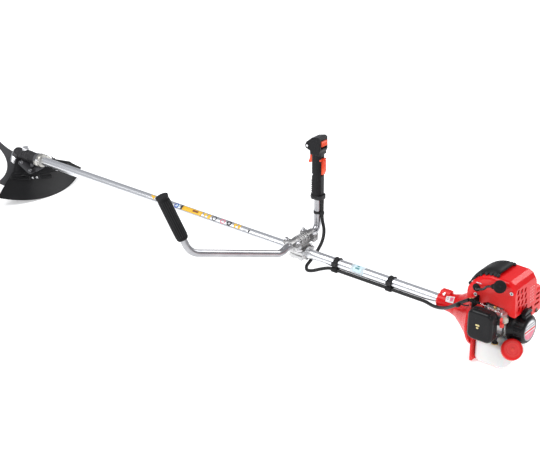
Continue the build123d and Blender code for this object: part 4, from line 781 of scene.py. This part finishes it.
# ---------------------------------------------------------------- engine shroud and pad
def pad_skin():
    """Crowned rubber pad over the shroud with a scalloped lower edge."""
    top = [(-74, 197.5), (-70, 208), (-60, 224), (-50, 234), (-40, 241.8), (-30, 247.2), (-19, 251.2),
           (-10, 253.2), (-2, 253.4), (6, 251.8), (10.3, 247.4)]
    low = [(-70.9, 196.5), (-65, 205), (-55.5, 219.5), (-45, 228.5), (-33, 237), (-25, 239.2), (-16, 241.4),
           (-8.5, 243.3), (-2, 243.2), (3, 243.2), (8, 243.2)]
    half = 39.6
    columns = 24
    points = []
    for level, outline in ((1, top), (0, low)):
        for (x, z), (low_x, low_z) in zip(outline, low):
            for column in range(columns + 1):
                share = column / columns * 2 - 1
                crown = 1 - abs(share) ** 6
                keep = crown if level else 0.0
                points.append((low_x + (x - low_x) * keep, share * half, low_z + (z - low_z) * keep))
    rows = len(top)
    layer = rows * (columns + 1)
    faces = []
    for row in range(rows - 1):
        for column in range(columns):
            corner = row * (columns + 1) + column
            quad = (corner, corner + 1, corner + columns + 2, corner + columns + 1)
            faces.append(quad)
            faces.append(tuple(layer + index for index in reversed(quad)))
    for row in (0, rows - 1):
        for column in range(columns):
            corner = row * (columns + 1) + column
            faces.append((corner, corner + 1, layer + corner + 1, layer + corner))
    pad = piece("pad_skin", None, "black_rubber", points, faces, [PAD_RUBBER])
    smooth = pad.modifiers.new("smooth", "SUBSURF")
    smooth.levels = 1
    smooth.render_levels = 1
    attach(pad, "machine")
    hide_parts("top_pad")
    lobes = []
    for share in range(7):
        position = share / 6 * (rows - 2) + 0.5
        index = int(position)
        blend = position - index
        x = low[index][0] + (low[index + 1][0] - low[index][0]) * blend
        z = low[index][1] + (low[index + 1][1] - low[index][1]) * blend
        for side in (-1, 1):
            lobes.append(lathe((x + 1.5, side * 42.6, z - 0.4), (0, -side, 0.0),
                               [(0, 0.001), (0.8, 2.6), (2.2, 4.0), (4.5, 4.8), (7, 4.4), (9, 0.001)], 20))
    points, faces = joined(lobes)
    piece("pad_lobes", "machine", "black_rubber", points, faces, [PAD_RUBBER])


def shroud_details():
    """Pale dots, a plain decal, painted shade as a dark panel behind the vents, and the lead's grommet."""
    def rear_place(u, v, height):
        lean = (223 - v) * 3 / 71
        return Vector((61 + lean + height, u, v))

    dots = [(WHITE_FILM, oval(26 + column * 7.5, 202 - row * 7.5, 1.1, 1.1, 12), 0, 0.02)
            for row in range(6) for column in range(3)]
    for row in range(3):
        dots.append((RED_SHELL, filled_out([(-12 + row * 4, 158), (-10 + row * 4, 158), (-4 + row * 4, 172),
                                            (-6 + row * 4, 172)]), 0, 0.3))
    films("shroud_dots", "machine", "red_plastic", rear_place, dots)
    side = flat_place((0, SHROUD_LEFT_Y, 0), EAST, UP)
    decal = [(PINK_FILM, rounded(-38, 213, 8.5, 1.8, 1.2), 0, 0.02),
             (WHITE_FILM, rounded(-41, 213, 3.2, 1.1, 0.8), 0, 0.16),
             (WHITE_FILM, rounded(-34, 213, 2.2, 1.1, 0.8), 0, 0.16)]
    films("shroud_decal", "machine", "red_plastic", side, decal)
    # Flat dark panel behind the vents: painted shade standing in for the dark inside of the shroud.
    vent_shade = film(rounded(-6, 190, 34, 30, 3), flat_place((55.5, 0, 0), -LEFT, UP), lift=0.6)
    piece("vent_shade_panel", "machine", "black_plastic", *vent_shade, [BLACK_FILM])
    collar = [(0, 9.5), (1.5, 10), (3.5, 9.4), (6.0, 7.4), (7.6, 4.6), (8.0, 3.2), (7.2, 2.6)]
    grommet = lathe((-43, SHROUD_LEFT_Y + 0.5, 200), LEFT, collar, 40)
    piece("lead_grommet", "machine", "black_rubber", *grommet, [RUBBER])


# ---------------------------------------------------------------- clutch housing
def housing_details():
    """Plain colour label and seam bead on the neck of the clutch housing."""
    def neck_radius(x):
        reach = x - HOUSING_X
        if reach < 38:
            return 21 + (24 - 21) * (reach - 3) / 35
        if reach < 58:
            return 24 + 6 * (reach - 38) / 20
        return 30 + 15 * (reach - 58) / 22

    place = round_place(neck_radius, math.radians(40))
    label = [(WHITE_FILM, filled_out([(-147, -8), (-122, -9), (-118, 9), (-143, 9)]), 0, 0.05),
             (PINK_FILM, filled_out([(-134, -5), (-124, -6), (-122, 5), (-131, 6)]), 0, 0.2),
             (GREY_FILM, oval(-139, 0, 3.4, 4.0), 0.5, 0.2)]
    films("housing_label", "machine", "red_paint", place, label)
    bead = lathe((HOUSING_X + 4, 0, TUBE_Z), EAST, [(0, 20.8), (0.4, 22.2), (2.2, 22.4), (2.8, 21.0)], 56)
    piece("housing_bead", "machine", "red_paint", *bead, [RED_PAINT])


# ---------------------------------------------------------------- wires at the intake
def wires():
    """Throttle wire, stop wire, earth wire, the cable's end sleeve and the starter rope."""
    wire = lathe((-18, -72, 176), (56, 0, -7), [(step * 56.4 / 24, 0.7) for step in range(25)], 12)
    wire = piece("throttle_wire", None, "steel", *wire, [ZINC])
    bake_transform(wire)
    line("stop_wire", "machine",
         [(-76, -70, 152), (-71, -68, 158), (-65, -64, 165), (-56, -60, 171.5), (-46, -56, 172),
          (-38, -50, 172), (-36, -45, 172)], 1.3, WIRE_SKIN)
    line("earth_wire", "machine",
         [(-72, -68, 154), (-64, -66, 152), (-56, -62, 152.5), (-48, -56, 154), (-42, -50, 157),
          (-40, -45, 158)], 1.8, LEAD_SKIN)
    sleeve = lathe((-79, -72.5, 149.5), (26, -11, 23),
                   [(0, 4.4), (0.6, 5.4), (9, 5.4), (10, 4.4)], 32)
    piece("cable_sleeve", "machine", "black_rubber", *sleeve, [RUBBER])
    low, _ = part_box("rope_handle")
    rope_top = low.z / MM
    length = 6.0
    outline = [(step * length / 40, 1.6) for step in range(41)]
    rope = lathe((71.5, -4, rope_top - length + 0.5), UP, outline, 12)
    rope = piece("starter_rope", None, "black_rubber", *rope, [LEAD_SKIN])
    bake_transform(rope)


# ---------------------------------------------------------------- carburettor, air cleaner and starter
def intake_details():
    """Screws and brass fittings at the carburettor, and a plain mark and beads on the air cleaner."""
    screw = [(-0.5, 3.4), (1.4, 3.4), (2.0, 2.8), (2.0, 0.001)]
    parts = [lathe((x, -64, 164), UP, screw, 24) for x in (3, 22)]
    parts.append(lathe((46, -56, 142), EAST, [(-0.5, 2.2), (6, 2.2), (6.4, 1.8), (6.4, 0.001)], 20))
    points, faces = joined(parts)
    piece("carburettor_screws", "machine", "fasteners", points, faces, [ZINC])
    parts = [lathe((12, -50, 164), UP, [(-0.5, 4.5), (3.5, 4.5), (4.5, 3.6), (4.5, 0.001)], 24),
             lathe((18, -50, 69.5), UP, [(0, 8.6), (1.2, 8.6), (1.8, 7.6), (1.8, 7.0)], 32),
             lathe((42, -60, 131.0), UP, [(0, 3.3), (4.5, 3.3), (5.0, 2.6)], 24)]
    points, faces = joined(parts)
    piece("brass_fittings", "machine", "fasteners", points, faces, [BRASS])
    cover_low, cover_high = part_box("air_cleaner_cover")
    face = flat_place((0, cover_low.y / MM, 0), EAST, UP)
    mark = [(GOLD_FILM, rounded(1, 139, 5.5, 2.4, 1.5), 0, 0.02),
            (GOLD_FILM, rounded(1, 132, 3.2, 2.2, 1.5), 0, 0.02)]
    films("cover_mark", "machine", "black_plastic", face, mark)
    middle_x = (cover_low.x + cover_high.x) / 2 / MM
    middle_z = (cover_low.z + cover_high.z) / 2 / MM
    half_x = (cover_high.x - cover_low.x) / 2 / MM
    half_z = (cover_high.z - cover_low.z) / 2 / MM
    for number, y in enumerate((-86.6, -99.0)):
        outline = rounded(middle_x, middle_z, half_x, half_z, 16)
        route = [(x, y, z) for x, z in outline]
        line(f"cover_bead_{number}", "machine", route, 0.9, BLACK_SHELL,
             cyclic=True, order=3)


def starter_details():
    """Striped generic disc and raised ribs on the recoil starter."""
    rear_x = 82.0
    face = flat_place((rear_x, 0, TUBE_Z), -LEFT, UP)

    def slice_of(low, high, radius=24.5):
        """Part of a disc between two heights."""
        outline = []
        for height_from, height_to, sign in ((low, high, 1), (high, low, -1)):
            for step in range(9):
                height = height_from + (height_to - height_from) * step / 8
                outline.append((sign * math.sqrt(max(0.0, radius ** 2 - height ** 2)), height))
        return filled_out(outline)

    shapes = [(GREY_FILM, oval(0, 0, 27, 27, 56), 0, 0.02)]
    bands = ((-24.4, -5, PINK_FILM), (-5, -2, WHITE_FILM), (-2, 3, RED_SHELL), (3, 6, WHITE_FILM),
             (6, 10, GREY_FILM), (10, 13, WHITE_FILM), (13, 17, GREY_FILM), (17, 24.4, WHITE_FILM))
    for low, high, material in bands:
        shapes.append((material, slice_of(low, high), 0, 0.16))
    films("starter_disc", "machine", "black_plastic", face, shapes)
    rib = [(0, 0.2), (1.5, 1.3), (19, 1.3), (21, 0.2)]
    ribs = []
    count = 20
    for number in range(count):
        turn = 2 * math.pi * (number + 0.5) / count
        if 50 < math.degrees(turn) < 130:
            continue
        outward = Vector((0, math.cos(turn), math.sin(turn)))
        start = Vector((56, 0, TUBE_Z)) + outward * 37.6
        ribs.append(lathe(start, EAST * 21 - outward * 2.4, rib, 10))
    points, faces = joined(ribs)
    piece("starter_ribs", "machine", "black_plastic", points, faces, [BLACK_SHELL])


def cap_details():
    """Raised ring and boss on the fuel cap."""
    cap_axis = Vector((0.55, -0.62, 0.56)).normalized()
    cap_top = Vector((66, -53, 71)) + cap_axis * 9
    ring = lathe(cap_top - cap_axis * 0.3, cap_axis, [(0, 14), (0.9, 14.4), (0.9, 16.2), (0, 16.6)], 48)
    bar = lathe(cap_top - cap_axis * 0.3, cap_axis, [(0, 5.5), (0.7, 5.2), (0.7, 0.001)], 36)
    points, faces = joined([ring, bar])
    piece("cap_ring", "tank_cap", "red_plastic", points, faces, [CAP_RED])


add_camera()
add_studio()
dress_nodes()
tube_marks()
strap_bands()
socket_shade_and_rims()
guard_details()
case_details()
bracket_details()
grip_ribs()
handle_details()
pad_skin()
shroud_details()
housing_details()
wires()
intake_details()
starter_details()
cap_details()
